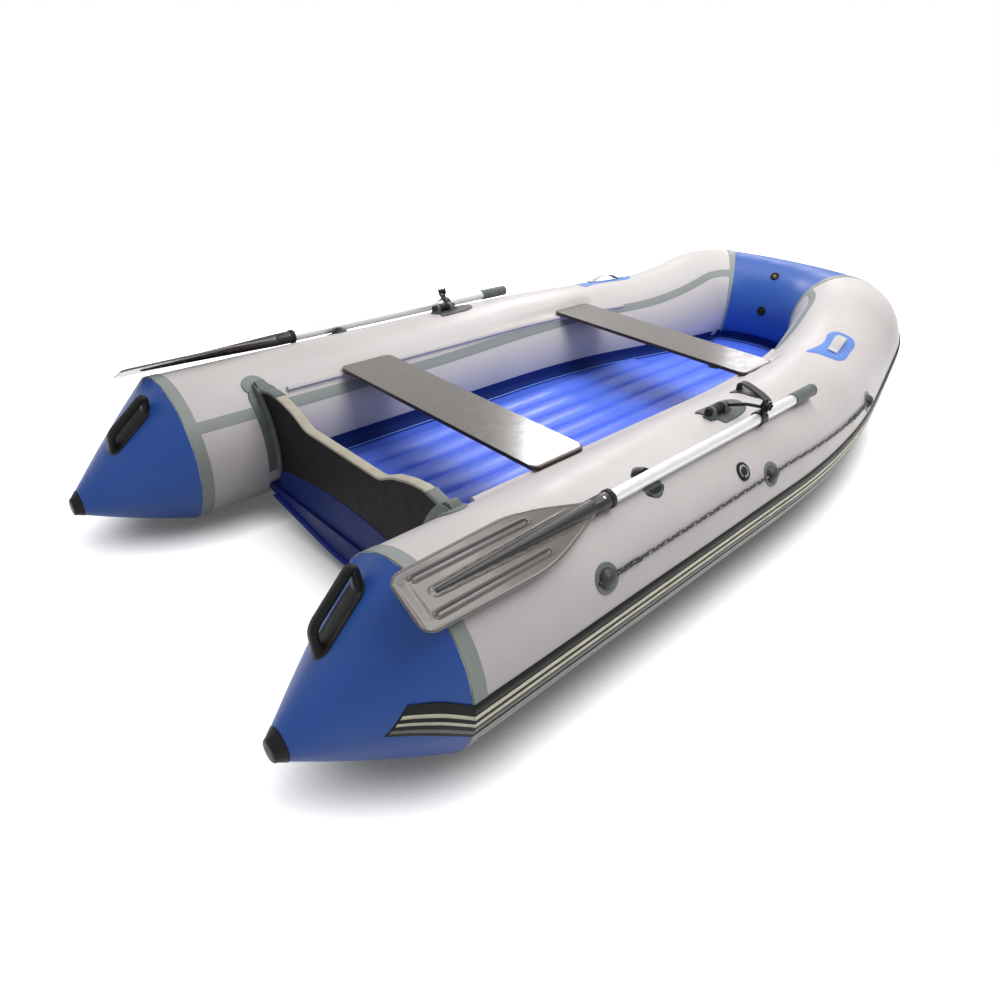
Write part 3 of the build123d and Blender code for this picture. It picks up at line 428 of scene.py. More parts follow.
# %% Straight run and gentle bend
start = Vector((seam_x, axis_y, TUBE))
ahead, outboard = Vector((1, 0, 0)), Vector((0, 1, 0))
straight = {"start": start, "along": ahead, "out": outboard, "inward": None, "radius": None,
            "length": STRAIGHT_RUN}
bend_start = start + ahead * STRAIGHT_RUN
bend_end = Vector((GENTLE_RADIUS * sin(GENTLE_TURN),
                   -GENTLE_RADIUS * (1 - cos(GENTLE_TURN)), 0))
gentle = arc_run(bend_start, ahead, outboard, bend_start + bend_end)
print("the tubes begin to close in at x =", round(bend_start.x, 3))

# %% [markdown]
# The rise and the knee are two arcs that share a tangent where they meet. One share sets how tight
# the knee is against the rise, and their meeting point follows from a quadratic.

# %% Rise, knee and bow
sagitta = STEM - Vector((RING.x, 0, RING.z))
half_sweep = 2 * atan2(sagitta.length, RING.y)
ring_along = Vector((0, -cos(half_sweep), 0)) + sagitta.normalized() * sin(half_sweep)
leave, leave_along, leave_out, _ = run_frame(gentle, gentle["length"])
pull = leave_along + ring_along * KNEE_SHARE
slack = (1 + KNEE_SHARE) ** 2 - pull.dot(pull)
gap = RING - leave
lead = gap.dot(pull)
arm = (sqrt(lead ** 2 + slack * gap.dot(gap)) - lead) / slack
knee_point = (((leave + leave_along * arm) * KNEE_SHARE + RING - ring_along * (arm * KNEE_SHARE))
              / (1 + KNEE_SHARE))
rise = arc_run(leave, leave_along, leave_out, knee_point)
_, knee_along, knee_out, _ = run_frame(rise, rise["length"])
knee = arc_run(knee_point, knee_along, knee_out, RING)
_, bow_along, bow_out, _ = run_frame(knee, knee["length"])
bow = arc_run(RING, bow_along, bow_out, STEM)
runs = [straight, gentle, rise, knee, bow]
TUBE_LENGTH = sum(run["length"] for run in runs[:4])
HALF_LENGTH = TUBE_LENGTH + bow["length"]
print("side tube", round(TUBE_LENGTH, 3), "m along its axis, bow", round(2 * bow["length"], 3), "m")


# %% Places on the tube
def hull_frame(along):
    """The frame of the port tube, a distance along its axis from the stern seam."""
    for run in runs:
        if along <= run["length"] or run is bow:
            return run_frame(run, along)
        along -= run["length"]


def on_hull(along, angle, lift=0.0):
    """A point on the port tube. The angle is 0 outboard, 90 on top and 180 inboard."""
    centre, _, out, up = hull_frame(along)
    a = radians(angle)
    return centre + (out * cos(a) + up * sin(a)) * (TUBE + lift)


def hull_plane(along, angle):
    """Centre, way along, way across and way out on the tube's surface."""
    _, forward, out, up = hull_frame(along)
    a = radians(angle)
    outward = out * cos(a) + up * sin(a)
    return on_hull(along, angle), forward, outward.cross(forward), outward


def round_tube(distance):
    """The angle round the tube, in degrees, that a distance along its surface spans."""
    return degrees(distance / TUBE)


print("the stem stands", round(HALF_LENGTH, 3), "m along the axis from the stern seam")

# %% [markdown]
# ## Meshes from rows of points
# A tube, a tape or a strake is a grid: rows of points that follow the hull. One helper joins the
# rows into faces, turns them outwards and smooths them, and another mirrors a port piece to
# starboard. This is plain mesh code, chosen because each row needs its own exact place.

# %% Helpers for meshes
SIDES = (("port", 1), ("starboard", -1))


def mesh_piece(name, shape, finish, smooth=40):
    """A finished mesh object: merged, facing outwards, and sharp only past an angle."""
    points, faces = shape
    data = bpy.data.meshes.new(name)
    work = bmesh.new()
    verts = [work.verts.new(p) for p in points]
    for face in faces:
        if len({tuple(round(c, 7) for c in verts[i].co) for i in face}) > 2:
            work.faces.new([verts[i] for i in face])
    bmesh.ops.remove_doubles(work, verts=work.verts, dist=1e-6)
    bmesh.ops.recalc_face_normals(work, faces=work.faces)
    work.to_mesh(data)
    work.free()
    data.materials.append(finish)
    data.polygons.foreach_set("use_smooth", [True] * len(data.polygons))
    data.set_sharp_from_angle(angle=radians(smooth))
    return link(name, data)


def grid(rows, close_rows=False, close_columns=True):
    """Points and faces of a grid. Caps fill the first and the last row of an open one."""
    count, width = len(rows), len(rows[0])
    points = [p for row in rows for p in row]
    faces = []
    for i in range(count if close_rows else count - 1):
        this_row, next_row = i * width, (i + 1) % count * width
        for j in range(width if close_columns else width - 1):
            next_j = (j + 1) % width
            faces.append((this_row + j, this_row + next_j, next_row + next_j, next_row + j))
    if not close_rows:
        faces += [tuple(range(width))[::-1], tuple(range((count - 1) * width, count * width))]
    return points, faces


def clamp(value, low=0.0, high=1.0):
    """A value held between two limits."""
    return max(low, min(high, value))


def steps(low, high, size):
    """Evenly spaced values from low to high, about size apart."""
    count = max(1, ceil((high - low) / size))
    return [low + (high - low) * i / count for i in range(count + 1)]


def read_off(x, marks, column=1):
    """A value between marks, each of which is a place and the values there."""
    return float(np.interp(x, [m[0] for m in marks], [m[column] for m in marks]))


def mirrored(points):
    """The same points on the other side of the boat."""
    return [Vector((p.x, -p.y, p.z)) for p in points]


def sided(points, sign):
    """Port points as they are, or mirrored for starboard."""
    return points if sign > 0 else mirrored(points)


def done(piece, body="hull", stands_for=()):
    """Rides a piece on its body and hides the CAD nodes it stands for."""
    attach(piece, body)
    if stands_for:
        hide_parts(*stands_for)
    return piece


def single(name, shape, finish, slot=None, stands_for=(), smooth=40):
    """A piece that stands once on the hull."""
    done(mesh_piece(name, shape, finish, smooth), "hull", stands_for)


def both_sides(name, shape, finish, slot=None, stands_for=(), smooth=40, body="hull"):
    """A port piece and its mirror image."""
    points, faces = shape
    made = []
    for side, sign in SIDES:
        piece = mesh_piece(f"{name}_{side}", (sided(points, sign), faces), finish, smooth)
        rider = body if body == "hull" else f"{body}_{side}"
        made.append(done(piece, rider, [f"{node}_{side}" for node in stands_for]))
    return made


# %% [markdown]
# A strake or a tape keeps one section along its whole run. The section is a closed list of pairs,
# how far across and how far off the skin, and each row lays it on the tube at one place.

# %% Strips along the tube
def strip(alongs, angle, profile):
    """A closed profile of (across, lift) pairs carried along the tube at an angle."""
    rows = []
    for along in alongs:
        here = angle(along) if callable(angle) else angle
        rows.append([on_hull(along, here + round_tube(across), lift) for across, lift in profile])
    return grid(rows)


def tape_profile(width, thickness):
    """A tape's closed section: flat on top with thinned edges."""
    half = width / 2
    bevel = sink = 0.0006
    top = [(-half + bevel + (width - 2 * bevel) * k / 8, thickness) for k in range(9)]
    base = [(half - width * k / 8, -sink) for k in range(9)]
    return [(-half, thickness * 0.4)] + top + [(half, thickness * 0.4)] + base


# %% [markdown]
# ## Tubes
# The two side tubes and the bow panel are one long inflated skin. Where tape holds a seam tight,
# the air beside it bulges a little, so the radius dips by about a millimetre at each seam, with
# fine puckers. The seats press a flat bed into the inner top of the tube.

# %% Slack skin and the seats' bed
seat_bed_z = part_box("thwart_fore")[0].z - 0.0005
seat_end_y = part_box("thwart_fore")[1].y + 0.0003


def pucker(along, angle, seams):
    """How far the skin is drawn in near taped seams."""
    sink = 0.0
    for seam in seams:
        near = exp(-abs(along - seam) / 0.035)
        wave = 0.5 + 0.5 * sin(angle * 0.42 + 3 * sin(angle * 0.11 + seam * 7))
        sink += near * (0.0010 + 0.0012 * wave)
    return -sink


def seat_reach(x):
    """1 along the fore seat's travel, fading out past its ends."""
    low, high = bend_start.x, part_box("thwart_fore")[1].x
    return clamp(min((x - low + 0.05) / 0.05, (high + 0.03 - x) / 0.03))


def tube_point(along, angle):
    """The tube's skin: puckered at its ends, slack in long low ripples, pressed by the seats."""
    ripple = 0.0006 * sin(along * 9.0 + angle * 0.05) * sin(angle * 0.09 + along * 2.0)
    p = on_hull(along, angle, pucker(along, angle, (0.0, TUBE_LENGTH)) + ripple)
    inside = seat_end_y - p.y
    if p.z > seat_bed_z and inside > -0.02 and 90 < angle < 200:
        p.z -= (p.z - seat_bed_z) * clamp((inside + 0.02) / 0.02) * seat_reach(p.x)
    p.z = max(p.z, 0.0)
    return p


print("the seats press the tubes flat at z =", round(seat_bed_z, 4))

# %% Side tubes
angles = [i * 3.0 for i in range(120)]
rows = [[tube_point(s, a) for a in angles] for s in steps(0, TUBE_LENGTH, 0.018)]
shape = grid(rows)
both_sides("side_tube_skin", shape, grey_fabric, "tube_fabric", ["side_tube"])
print("side tube skin:", len(shape[1]), "faces a side")

# %% [markdown]
# The bow is the same tube in blue. Only its port half is worked out, and its mirror image goes on
# from the stem in reverse order, so that no seam shows there.

# %% Bow panel
half_rows = [[on_hull(s, a, pucker(s, a, (TUBE_LENGTH,))) for a in angles]
             for s in steps(TUBE_LENGTH, HALF_LENGTH, 0.014)]
shape = grid(half_rows + [mirrored(row) for row in half_rows[-2::-1]])
single("bow_skin", shape, blue_fabric, "blue_fabric", ["bow_panel"])
print("bow panel:", len(shape[1]), "faces")

# %% [markdown]
# ## Stern cones
# Each tube ends in a blue cone that drops towards its tip, where a black rubber cap takes the wear.
# The cone's sections are circles on a falling line, a little fuller than straight.

# %% Stern cones
CONE, TIP, INSET, DROP, BULGE = 0.2965, 0.0185, 0.0288, 0.080, 0.006


def on_cone(share, angle, lift=0.0):
    """A point on the port cone, from the seam at 0 to the tip's centre at 1."""
    radius = TUBE + (TIP - TUBE) * share + BULGE * sin(pi * share) + lift
    a = radians(angle)
    return Vector((seam_x - CONE * share, axis_y - INSET * share + radius * cos(a),
                   TUBE - DROP * share + radius * sin(a)))


def drawn_in(share, angle):
    """How far the cone's skin is drawn in near its seam."""
    wave = 0.6 + 0.4 * sin(angle * 0.4 + 2 * sin(angle * 0.09))
    return -exp(-share * CONE / 0.035) * 0.0016 * wave


cap_share = 1 - 0.024 / CONE
shape = grid([[on_cone(share, a, drawn_in(share, a)) for a in angles]
              for share in steps(0, cap_share, 0.03)])
both_sides("cone_skin", shape, blue_fabric, "blue_fabric", ["stern_cone"])
print("cone skin:", len(shape[1]), "faces a side")

# %% [markdown]
# The cap is a moulded rubber cup. Its wall follows the cone, a fillet turns it inwards, and a
# slightly domed nose closes it.

# %% Cone caps
CAP_FILLET, CAP_SIDES = 0.008, 48
rim_angles = [i * 7.5 for i in range(CAP_SIDES)]
cap_wall = ((cap_share - 0.004, -0.0006), (cap_share - 0.003, 0.0010), (cap_share, 0.0016),
            (cap_share + 0.02, 0.0018), (1 - 0.0085 / CONE, 0.0018))
rows = [[on_cone(share, a, lift) for a in rim_angles] for share, lift in cap_wall]
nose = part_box("cone_cap_port")[0].x + 0.0012
nose_radius = (rows[-1][0] - rows[-1][CAP_SIDES // 2]).length / 2
for bend in (15, 30, 45, 60, 75, 90):
    turn = radians(bend)
    share = (seam_x - nose - CAP_FILLET * (1 - sin(turn))) / CONE
    middle = Vector((seam_x - CONE * share, axis_y - INSET * share, TUBE - DROP * share))
    radius = nose_radius - CAP_FILLET * (1 - cos(turn))
    rows.append([middle + radius * Vector((0, cos(radians(a)), sin(radians(a))))
                 for a in rim_angles])
nose_middle = Vector((nose, axis_y - INSET, TUBE - DROP))
nose_rim = rows[-1]
for part, dome in ((0.7, 0.0006), (0.35, 0.0011), (0.01, 0.0012)):
    rows.append([nose_middle.lerp(p, part) - Vector((dome, 0, 0)) for p in nose_rim])
shape = grid(rows)
both_sides("cone_tip", shape, black_rubber, "black_rubber", ["cone_cap"])
print("cone caps:", len(shape[1]), "faces a side")

# %% [markdown]
# ## Seam tapes
# Grey tape covers each seam: rings at the cones and at the bow, and a long run along the inner
# side of each tube. A tape is a thin strip with thinned edges, laid on the skin.

# %% Ring tapes
def ring_profile(centre, width, thickness):
    """A ring tape's closed section along the tube."""
    low, high = centre - width / 2, centre + width / 2
    edge, sink = thickness * 0.3 - 0.001, -0.004
    return [(low, edge), (low + 0.001, thickness), (centre, thickness), (high - 0.001, thickness),
            (high, edge), (high, sink), (centre, sink), (low, sink)]


def above_ground(along, angle, lift):
    """A point on the tube, kept above the ground."""
    p = on_hull(along, angle, lift)
    return Vector((p.x, p.y, max(p.z, 0.0002)))


def hoop(section):
    """A closed section of (along, lift) pairs carried once round the tube."""
    return grid([[above_ground(along, angle, lift) for along, lift in section] for angle in angles],
                close_rows=True)


shape = hoop(ring_profile(0.019, 0.035, 0.0013))
both_sides("stern_ring_tape", shape, seam_tape, "seam_tape", ["stern_band"])
shape = hoop(ring_profile(TUBE_LENGTH, 0.030, 0.0012))
both_sides("bow_ring_tape", shape, seam_tape, "seam_tape")
print("ring tapes:", len(shape[1]), "faces each")

# %% [markdown]
# Each side tube is one sheet rolled into a tube and joined inboard. The joint sinks a little
# towards the bow, where the sheet is cut to close in, so its angle is a function of the station.

# %% Inner seam tapes
SEAM_BEND = 0.9


def seam_angle(along):
    """The inner seam's angle drifts down towards the bow."""
    return 146.0 - 15.0 * clamp((along - SEAM_BEND) / (TUBE_LENGTH - SEAM_BEND))


shape = strip(steps(0.030, TUBE_LENGTH - 0.010, 0.02), seam_angle, tape_profile(0.036, 0.0012))
both_sides("inner_seam_tape", shape, seam_tape, "seam_tape")
print("inner seam tapes:", len(shape[1]), "faces each")

# %% [markdown]
# ## Strake and splash strip
# A black rubber strake with two cream ridges protects the widest part of the hull, and a lower
# lip throws spray aside. The lip's darker grey is painted shade, the shade on the tube below the
# strake. One section runs from the stern cone round the bow to the other cone.

# %% Strake sections
def arc_across(degrees):
    """Distance round the tube's surface for an angle."""
    return radians(degrees) * TUBE


def at_angles(lift, *places):
    """Points of a section at the given angles, all at one lift."""
    return [(arc_across(degrees), lift) for degrees in places]


def ridge(low, high, base, top):
    """A rounded ridge between two angles, as (across, lift) pairs."""
    return [(arc_across(low + (high - low) * k / 6),
             base + (top - base) * sin(pi * k / 6) ** 0.5) for k in range(7)]


strake_ridges = ((-16, -13.9, 0.0020, 0.0042), (-13.6, -9.9, 0.0022, 0.0034),
                 (-9.4, -8.0, 0.003, 0.0045), (-7.8, -5.2, 0.0035, 0.0052),
                 (-4.9, -3.0, 0.003, 0.0048), (-2.8, -0.1, 0.0035, 0.0055), (0.2, 6, 0.0025, 0.0065))
strake_back = at_angles(-0.001, 6, *(6 - 22 * k / 10 for k in range(1, 10)))
strake_section = (at_angles(-0.001, -16) + [p for band in strake_ridges for p in ridge(*band)]
                  + strake_back)
cream_low = ridge(-7.6, -5.4, 0.0052, 0.0068) + at_angles(0.003, -5.4, -7.6)
cream_high = ridge(-2.7, -0.3, 0.0052, 0.0070) + at_angles(0.003, -0.3, -2.7)
grey_bead = ridge(-13.2, -10.1, 0.0030, 0.0046) + at_angles(0.002, -10.1, -13.2)
splash_back = at_angles(-0.001, -16.2, *(-16.2 - 7.3 * k / 4 for k in range(1, 4)))
splash_section = (at_angles(-0.001, -23.5) + ridge(-23.5, -21, 0.0008, 0.0030)
                  + ridge(-20.5, -16.2, 0.0015, 0.0030) + splash_back)
print("strake section:", len(strake_section), "points")

# %% [markdown]
# The strake is made in three lengths that meet at the bow rings. Stripes and bead are pieces of
# their own, each with its own finish, sunk a little into the black rubber so that no gap shows.

# %% Strake
def along_bow(section):
    """Rows of a section from the port ring round the stem to the starboard ring."""
    rows = [[on_hull(s, round_tube(across), lift) for across, lift in section]
            for s in steps(TUBE_LENGTH, HALF_LENGTH, 0.014)]
    return grid(rows + [mirrored(row) for row in rows[-2::-1]])


for name, section, finish, side_nodes, bow_nodes in (
        ("strake", strake_section, black_rubber, ["strake"], ["bow_strake"]),
        ("strake_upper_stripe", cream_high, cream_rubber, (), ()),
        ("strake_lower_stripe", cream_low, cream_rubber, (), ()),
        ("strake_grey_bead", grey_bead, splash_rubber, (), ()),
        ("splash_strip", splash_section, splash_fabric_painted_shade, (), ())):
    shape = strip(steps(0.0, TUBE_LENGTH, 0.02), 0.0, section)
    both_sides(f"{name}_side", shape, finish, "black_rubber", side_nodes)
    single(f"{name}_bow", along_bow(section), finish, "black_rubber", bow_nodes)
    print(name, len(shape[1]), "faces a side")

# %% [markdown]
# Past the stern seam the strake runs on over the cone as a tail. It turns upwards as the cone
# narrows and ends on a slant, so each band is a grid between two angles that drift with the cone.

# %% Strake tails on the cones
tail_marks = ((0.0, -16.0, 6.0), (0.16, -10.0, 14.5), (0.32, -4.0, 20.5), (0.48, 1.5, 25.0))
TAIL_LENGTH, TAIL_SLANT = 0.455, 0.135


def tail_angle(share, place):
    """An angle on the tail, for a place between its lower edge at 0 and its upper edge at 1."""
    low, high = (read_off(share, tail_marks, k) for k in (1, 2))
    return low + (high - low) * place


def tail_point(along, place, lift):
    """A point of the tail, from the seam at 0 to its slanted end at 1."""
    share = along * (TAIL_LENGTH - TAIL_SLANT * place)
    return on_cone(share, tail_angle(share, place), lift)


def tail(name, low, high, lift, crown, finish):
    """One band of the tail, between two places across it."""
    section = [(low + (high - low) * k / 6, lift + crown * sin(pi * k / 6) ** 0.5)
               for k in range(7)]
    section += [(high + (low - high) * k / 6, -0.002) for k in range(7)]
    rows = [[tail_point(i / 12, place, height) for place, height in section] for i in range(13)]
    both_sides(name, grid(rows), finish, "black_rubber")


tail("strake_tail", 0.0, 1.0, 0.0035, 0.0020, black_rubber)
tail("tail_upper_stripe", 0.605, 0.714, 0.0052, 0.0016, cream_rubber)
tail("tail_lower_stripe", 0.382, 0.482, 0.0052, 0.0016, cream_rubber)
tail("tail_grey_bead", 0.127, 0.250, 0.0048, 0.0010, splash_rubber)
print("strake tails made")

# %% [markdown]
# ## Air floor
# The floor is an inflated mat: six lengthwise chambers that stand up as soft arches between the
# webs that hold them flat. Each chamber ends in a half round just ahead of the transom and again
# near the bow. A height rule over a grid gives all of it: the height depends on how far a point is
# from its chamber's middle line, and from the centre of the half round past its end.

# %% The floor's outline
FLOOR_TOP, CHANNEL, CHANNELS = 0.176, 0.098, 6
MARGIN_DROP, PILLOW_RISE = 0.0030, 0.0185
floor_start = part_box("air_floor")[0].x


def rim_point(s, height, offset=0.0):
    """A point at a height on the tube's inner side, or offset inboard of it."""
    centre, _, out, _ = hull_frame(s)
    flat = Vector((out.x, out.y, 0)).normalized()
    reach_in = sqrt(TUBE ** 2 - (centre.z - height) ** 2) + offset
    return Vector((centre.x - flat.x * reach_in, centre.y - flat.y * reach_in, height))


edge_points = [rim_point(s, FLOOR_TOP) for s in steps(0.2, HALF_LENGTH, 0.02)]
edge_x, edge_y = [p.x for p in edge_points], [p.y for p in edge_points]
floor_end = edge_x[-1]


def floor_edge(x):
    """Half width of the floor between the tubes, at a station."""
    return float(np.interp(x, edge_x, edge_y))


print("floor:", round(floor_end - floor_start, 3), "m long")

# %% [markdown]
# Rows run across the floor, closer together where a chamber ends. A row keeps its points on the
# chambers' own lines, so the valleys stay straight, and spends what is left of its 73 points
# between the last chamber line and the tube.

# %% The floor's surface
chamber_end = floor_end - 0.20
ACROSS = 73


def floor_height(x, y):
    """Height of the floor: pillow chambers with round ends on a flat margin."""
    index = clamp(floor(y / CHANNEL + CHANNELS / 2), 0, CHANNELS - 1)
    middle = (index + 0.5 - CHANNELS / 2) * CHANNEL
    half = CHANNEL / 2
    front = min(chamber_end, float(np.interp(abs(middle) + half + 0.03, edge_y[::-1], edge_x[::-1])))
    past = max(0.0, floor_start + 0.022 + half - x, x - (front - half))
    away = hypot(past, y - middle) / half
    return FLOOR_TOP - MARGIN_DROP + PILLOW_RISE * max(0.0, 1 - away ** 2) ** 0.5


def across_floor(half_width):
    """Places across a row: chamber lines in the middle, even steps out to the tubes."""
    lines = [k * CHANNEL / 12 for k in range(-36, 37)]
    across = sorted({round(y, 5) for y in lines if abs(y) < half_width - 0.002})
    left = (ACROSS - len(across)) // 2 + 1
    right = ACROSS - len(across) - left + 2
    low, high = across[0] + half_width, half_width - across[-1]
    return ([-half_width + low * k / left for k in range(left)] + across
            + [across[-1] + high * (k + 1) / right for k in range(right)])


rows = []
for x in (steps(floor_start, floor_start + 0.08, 0.005)
          + steps(floor_start + 0.1, chamber_end - 0.4, 0.03)
          + steps(chamber_end - 0.39, floor_end - 0.001, 0.009)):
    half_width = max(0.02, floor_edge(x) + 0.006)
    underside = [Vector((x, y, FLOOR_TOP - 0.02)) for y in (half_width, -half_width)]
    rows.append([Vector((x, y, floor_height(x, y))) for y in across_floor(half_width)] + underside)
shape = grid(rows)
floor_mat = mesh_piece("floor_mat", shape, floor_fabric, smooth=65)
done(floor_mat, "hull", ["air_floor"])
print("floor mat:", len(shape[1]), "faces")

# %% [markdown]
# A navy strip covers the joint of floor and tube all the way round, and a paler bead edges it. Each
# is a few lines that follow the rim, each at its own offset and height.

# %% Floor edge strip and piping
def floor_rim(offset, lift):
    """A line round the floor, from the port corner by the bow to the starboard corner."""
    line = [rim_point(s, FLOOR_TOP + lift, offset) for s in steps(0.29, HALF_LENGTH, 0.02)]
    return line + mirrored(line[-2::-1])


def from_lines(lines):
    """A grid whose sections are read across several lines of equal length."""
    return grid([list(section) for section in zip(*lines)])


edge_lines = ((-0.004, 0.042), (0.0015, 0.040), (0.003, 0.018), (0.010, 0.007), (0.026, 0.004),
              (0.046, 0.0035), (0.046, -0.004), (-0.006, -0.004))
shape = from_lines([floor_rim(offset, lift) for offset, lift in edge_lines])
single("floor_edge_strip", shape, navy_fabric, "bottom_fabric", smooth=50)
PIPING = 0.0026
shape = from_lines([floor_rim(0.048 + PIPING * cos(a), 0.0035 + PIPING * sin(a))
                    for a in (radians(45 * k) for k in range(8))])
single("floor_piping", shape, piping_fabric, "patch_fabric")
print("edge strip and piping made")

# %% [markdown]
# ## Bottom
# The bottom is a blue sheet stretched over an inflated keel, a shallow V that runs up to the bow.
# Its aft edge reaches past the transom as a short flap with a bright hem.

# %% Bottom skin
bottom_marks = ((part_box("hull_bottom")[0].x, 0.470, 0.030, 0.092),
                (seam_x + STRAIGHT_RUN, 0.470, 0.022, 0.080),
                (seam_x + 2.08, 0.390, 0.048, 0.092), (seam_x + 2.60, 0.300, 0.096, 0.106))
KEEL_ROUND, LID = 0.015, 0.112
bottom_start = bottom_marks[0][0] + 0.0005


def keel_rise(f):
    """0 at the keel and 1 at the chine: a V with a rounded point."""
    low = sqrt(KEEL_ROUND)
    return (sqrt(f * f + KEEL_ROUND) - low) / (sqrt(1 + KEEL_ROUND) - low)


def bottom_row(x):
    """The bottom's section: a rounded keel, flat sides and a lid inside the hull."""
    half, keel, chine = (read_off(x, bottom_marks, k) for k in (1, 2, 3))
    row = [Vector((x, k / 24 * half, keel + (chine - keel) * keel_rise(k / 24))) for k in range(-24, 25)]
    return row + [Vector((x, half, LID)), Vector((x, -half, LID))]


shape = grid([bottom_row(x) for x in steps(bottom_start, bottom_marks[-1][0], 0.04)])
single("bottom_skin", shape, bottom_fabric, "bottom_fabric", ["hull_bottom"], smooth=50)
print("bottom skin:", len(shape[1]), "faces")

# %% [markdown]
# ## Transom
# The transom is a film-faced board. Its top edge dips for the motor and swells to a shoulder each
# side, with a cream strip along it. The outline comes from corner points whose straight joins are
# averaged over a short window, which rounds every corner by the same amount.

# %% Board
board_aft, board_fore = (corner.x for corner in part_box("transom"))
top_marks = ((0, 0.375), (0.188, 0.375), (0.250, 0.406), (0.323, 0.424), (0.385, 0.430),
             (0.440, 0.416), (0.620, 0.388))
lobe = axis_y - TUBE - 0.004


def board_top(y):
    """Height of the board's top edge."""
    return float(np.mean([read_off(abs(abs(y) + d * 0.003), top_marks) for d in range(-6, 7)]))


def board_foot(y):
    """Height where the board ends below: the floor's underside, or the tube."""
    beyond = TUBE + 0.004
    if axis_y - abs(y) >= beyond:
        return 0.111
    return TUBE + sqrt(beyond ** 2 - (axis_y - abs(y)) ** 2)


def edge_round(low, high, radius):
    """A rounded top edge between two faces, as (x, drop) pairs."""
    turn = [pi / 2 * k / 4 for k in range(5)]
    return ([(low + radius - radius * cos(a), radius - radius * sin(a)) for a in turn]
            + [(high - radius + radius * sin(a), radius - radius * cos(a)) for a in turn])


half_ys = steps(0, lobe, 0.01) + steps(lobe + 0.0002, 0.488, 0.006)
rows = []
for y in [-y for y in half_ys[:0:-1]] + half_ys:
    top, foot = board_top(y), board_foot(y)
    over = [Vector((x, y, top - drop)) for x, drop in edge_round(board_aft, board_fore, 0.003)]
    rows.append([Vector((board_aft, y, foot))] + over + [Vector((board_fore, y, foot))])
shape = grid(rows)
single("transom_board", shape, transom_film, "transom_board", ["transom"], smooth=35)
print("transom board:", len(shape[1]), "faces")

# %% [markdown]
# A cream plastic profile is pushed over the board's top edge, and a grey clip holds it at each end.
# All three are one cap section that follows the edge, with its own thickness and length.

# %% Cream edge strip and its clips
def edge_strip(name, low, high, thickness, margin, finish, slot, stands_for=()):
    """A cap over the board's top edge between two places across the boat."""
    rows = []
    for y in steps(low, high, 0.008):
        top = board_top(y)
        outer = [(x, top + thickness - drop)
                 for x, drop in edge_round(board_aft - margin, board_fore + margin, 0.0025)]
        lips = [(x, top - 0.004) for x in (board_fore + margin, board_fore - 0.003, board_aft + 0.003)]
        section = [(board_aft - margin, top - 0.004)] + outer + lips
        rows.append([Vector((x, y, z)) for x, z in section])
    single(name, grid(rows), finish, slot, stands_for, smooth=35)


edge_strip("transom_edge_strip", -0.440, 0.440, 0.0025, 0.0008, cream_trim, "cream_trim", ["transom_trim"])
edge_strip("transom_clip_port", 0.345, 0.452, 0.0050, 0.0030, grey_rubber, "grey_rubber")
edge_strip("transom_clip_starboard", -0.455, -0.395, 0.0050, 0.0030, grey_rubber, "grey_rubber")
print("edge strip and clips made")

# %% [markdown]
# The bottom's fabric turns up over the board's foot and is glued there, higher in the middle.

# %% Blue skirt on the aft face
rows = []
for y in steps(-lobe + 0.002, lobe - 0.002, 0.012):
    crest = 0.162 + 0.048 * cos(min(1.0, abs(y) / 0.385) * pi / 2) ** 0.8
    section = ((-0.0010, crest), (-0.0022, crest - 0.002), (-0.0024, 0.146), (-0.0055, 0.141),
               (-0.0065, 0.125), (-0.0150, 0.106), (0.002, 0.106), (0.002, crest))
    rows.append([Vector((board_aft + step, y, z)) for step, z in section])
shape = grid(rows)
single("transom_skirt", shape, navy_fabric, "bottom_fabric", smooth=50)
print("transom skirt:", len(shape[1]), "faces")

# %% [markdown]
# The bottom's aft edge shows below the transom as a bright hem. It is the bottom's own section,
# without its outer ends, moved a few millimetres aft and thickened.

# %% Bottom flap and its hem
hem_line = bottom_row(bottom_start)[4:45]
hem_section = ((0.012, 0.0030), (-0.010, 0.0030), (-0.0125, 0.0010), (-0.010, -0.0012), (0.012, -0.0012))
rows = [[p + Vector((dx, 0, dz)) for p in hem_line] for dx, dz in hem_section]
shape = grid(rows, close_rows=True, close_columns=False)
single("bottom_hem", shape, hem_fabric, "bottom_fabric", smooth=50)
print("bottom hem:", len(shape[1]), "faces")

# %% [markdown]
# ## Seats
# A seat is a glossy film-faced board with bare, dark ply edges. Its rounded outline is repeated at
# a few heights, drawn in a little at the edges. Faces that look sideways take the edge's finish.

# %% Rounded outlines, stacked
def rounded_outline(half_x, half_y, corner, count=6):
    """A rounded rectangle's outline, counterclockwise."""
    outline = []
    for sx, sy, first in ((1, 1, 0), (-1, 1, 90), (-1, -1, 180), (1, -1, 270)):
        for k in range(count + 1):
            a = radians(first + 90 * k / count)
            outline.append((sx * (half_x - corner) + corner * cos(a),
                            sy * (half_y - corner) + corner * sin(a)))
    return outline


def stacked(outline, layers, centre):
    """Rows that repeat an outline at each (inset, height), drawn towards its middle."""
    rows = []
    for inset, height in layers:
        shares = [1 - inset / hypot(x, y) for x, y in outline]
        rows.append([Vector((centre.x + x * share, centre.y + y * share, height))
                     for (x, y), share in zip(outline, shares)])
    return rows


# %% [markdown]
# A small bracket under each end hooks over the rail, so the seats slide but don't lift off. It
# rides on its seat, and its own stacked outline flares at the top, where it is screwed on.

